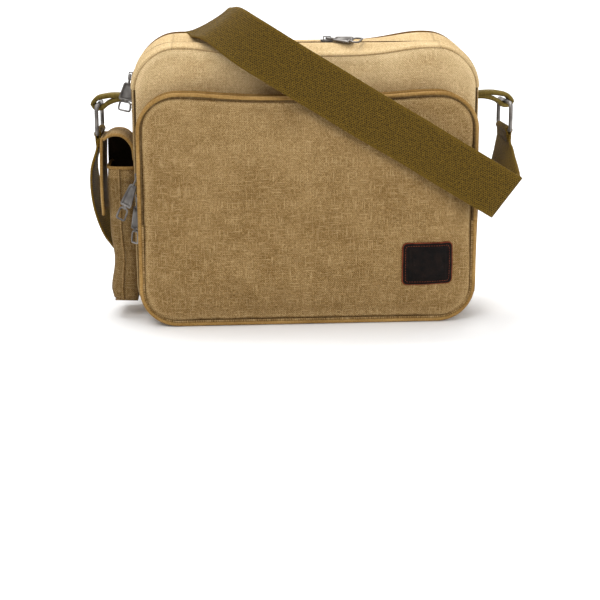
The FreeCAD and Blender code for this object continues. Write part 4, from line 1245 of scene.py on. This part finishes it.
def make_pull(label, body, eye, down, facing, link_side, longer=1.0, slimmer=1.0):
    """Zip pull: an oval link under the slider's bridge, a tapered frame with a sunk plate, an end loop."""
    eye = np.array(eye, float)
    down = np.array(down, float) / np.linalg.norm(down)
    facing = np.array(facing, float) - down * np.dot(facing, down)
    facing /= np.linalg.norm(facing)
    side = np.cross(down, facing)
    link_side = np.array(link_side, float) - down * np.dot(link_side, down)
    link_side /= np.linalg.norm(link_side)

    def place(across, length, out=0.0):
        """A point of the pull's own plane; the link's 7 mm are never stretched."""
        return eye + side * across * slimmer + down * (7 + (length - 7) * longer) + facing * out

    turn = np.linspace(0, 2 * math.pi, 28, endpoint=False)
    link = [eye + link_side * 3.0 * math.cos(a) + down * (4.4 + 5.2 * math.sin(a)) for a in turn]
    frame_line = rounded_loop([place(-4.4, 8.6), place(4.4, 8.6), place(8.0, 25), place(-8.0, 25)], 1.6)
    end_line = rounded_loop([place(-6.2, 27.2), place(6.2, 27.2), place(7.2, 36.0), place(-7.2, 36.0)], 2.6)
    neck = [place(0, 24.6), place(0, 27.6)]
    plate = np.array([[place(across * (3.8 + 3.4 * t), 9.2 + 15 * t, 0.2 + 0.25 * math.sin(math.pi * t))
                       for across in np.linspace(-1, 1, 5)] for t in np.linspace(0, 1, 5)])
    metal_pieces = [tube("link", link, 0.95, closed=True, sides=8),
                    tube("frame", frame_line, 1.15, closed=True, sides=8),
                    tube("end", end_line, 1.0, closed=True, sides=8),
                    tube("neck", np.linspace(neck[0], neck[1], 4), 1.9, sides=8),
                    cloth("plate", plate, 0.8)]
    dress(merge(f"{label}_link_and_pull", metal_pieces), GUNMETAL, on=body, stands_for=(f"{label}_pull",))


def make_pulls():
    """The five big pulls, hanging or lying as in the photograph; those on the front and the back
    compartment are longer and slimmer."""
    rearward, slender = (0, 1, 0), (1.3, 0.78)
    make_pull("main_left", "pull_main_left", (-176.4, -4, 247.2), (-0.20, -0.06, -1), (-0.5, -0.86, 0),
              rearward)
    make_pull("main_top", "pull_main_top", (22, -4, 283.6), (0.9, -0.42, -0.04), (0, -0.25, 0.97),
              rearward)
    make_pull("front_upper", "pull_front_upper", (-169.6, -45, 150.4), (-0.38, -0.08, -0.92),
              (-0.62, -0.78, 0.1), rearward, *slender)
    make_pull("front_lower", "pull_front_lower", (-169.6, -45, 129.4), (-0.07, -0.08, -1),
              (-0.78, -0.62, 0), rearward, *slender)
    make_pull("back", "pull_back", (169.6, 45, 150.4), (0.10, 0.06, -1), (0.85, 0.5, 0), rearward, *slender)


def paint_metal():
    """The hard fittings keep their CAD shape and only take a finish."""
    bright = ("front_pocket_slider", "flap_pocket_slider", "back_pocket_slider", "key_ring", "key_hook",
              "key_hook_gate")
    for name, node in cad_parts.items():
        node.data.materials.clear()
        if name in bright:
            node.data.materials.append(NICKEL)
        elif "slider" in name or "pull" in name or "ring" in name:
            node.data.materials.append(GUNMETAL)
        else:
            node.data.materials.append(CANVAS)


place_camera()
set_stage()
paint_metal()
make_main_compartment()
front_grid = make_zip_box("front", FRONT_FACE, FRONT_ZIP, FRONT_SEAM, FRONT_FOLD, 2.0)
make_zip_box("back", BACK_FACE, BACK_ZIP, BACK_SEAM, BACK_FOLD, 1.5)
panel_depth = surface_finder(front_grid)
make_front_organizer()
make_flap_pocket(panel_depth)
make_back_organizer()
make_phone_pocket()
make_slip_pocket()
make_patch(panel_depth)
make_loop("left", -1)
make_loop("right", 1)
make_strap_run("strap_front", FRONT_STATIONS, "strap_front", "strap_front_run", False, False)
make_strap_run("strap_back", BACK_STATIONS, "strap_back", "strap_back_run", True, True)
make_strap_end("strap_front_end", RING_X, "strap_front")
make_strap_end("strap_back_end", -RING_X, "strap_back")
make_key_tab()
make_pulls()
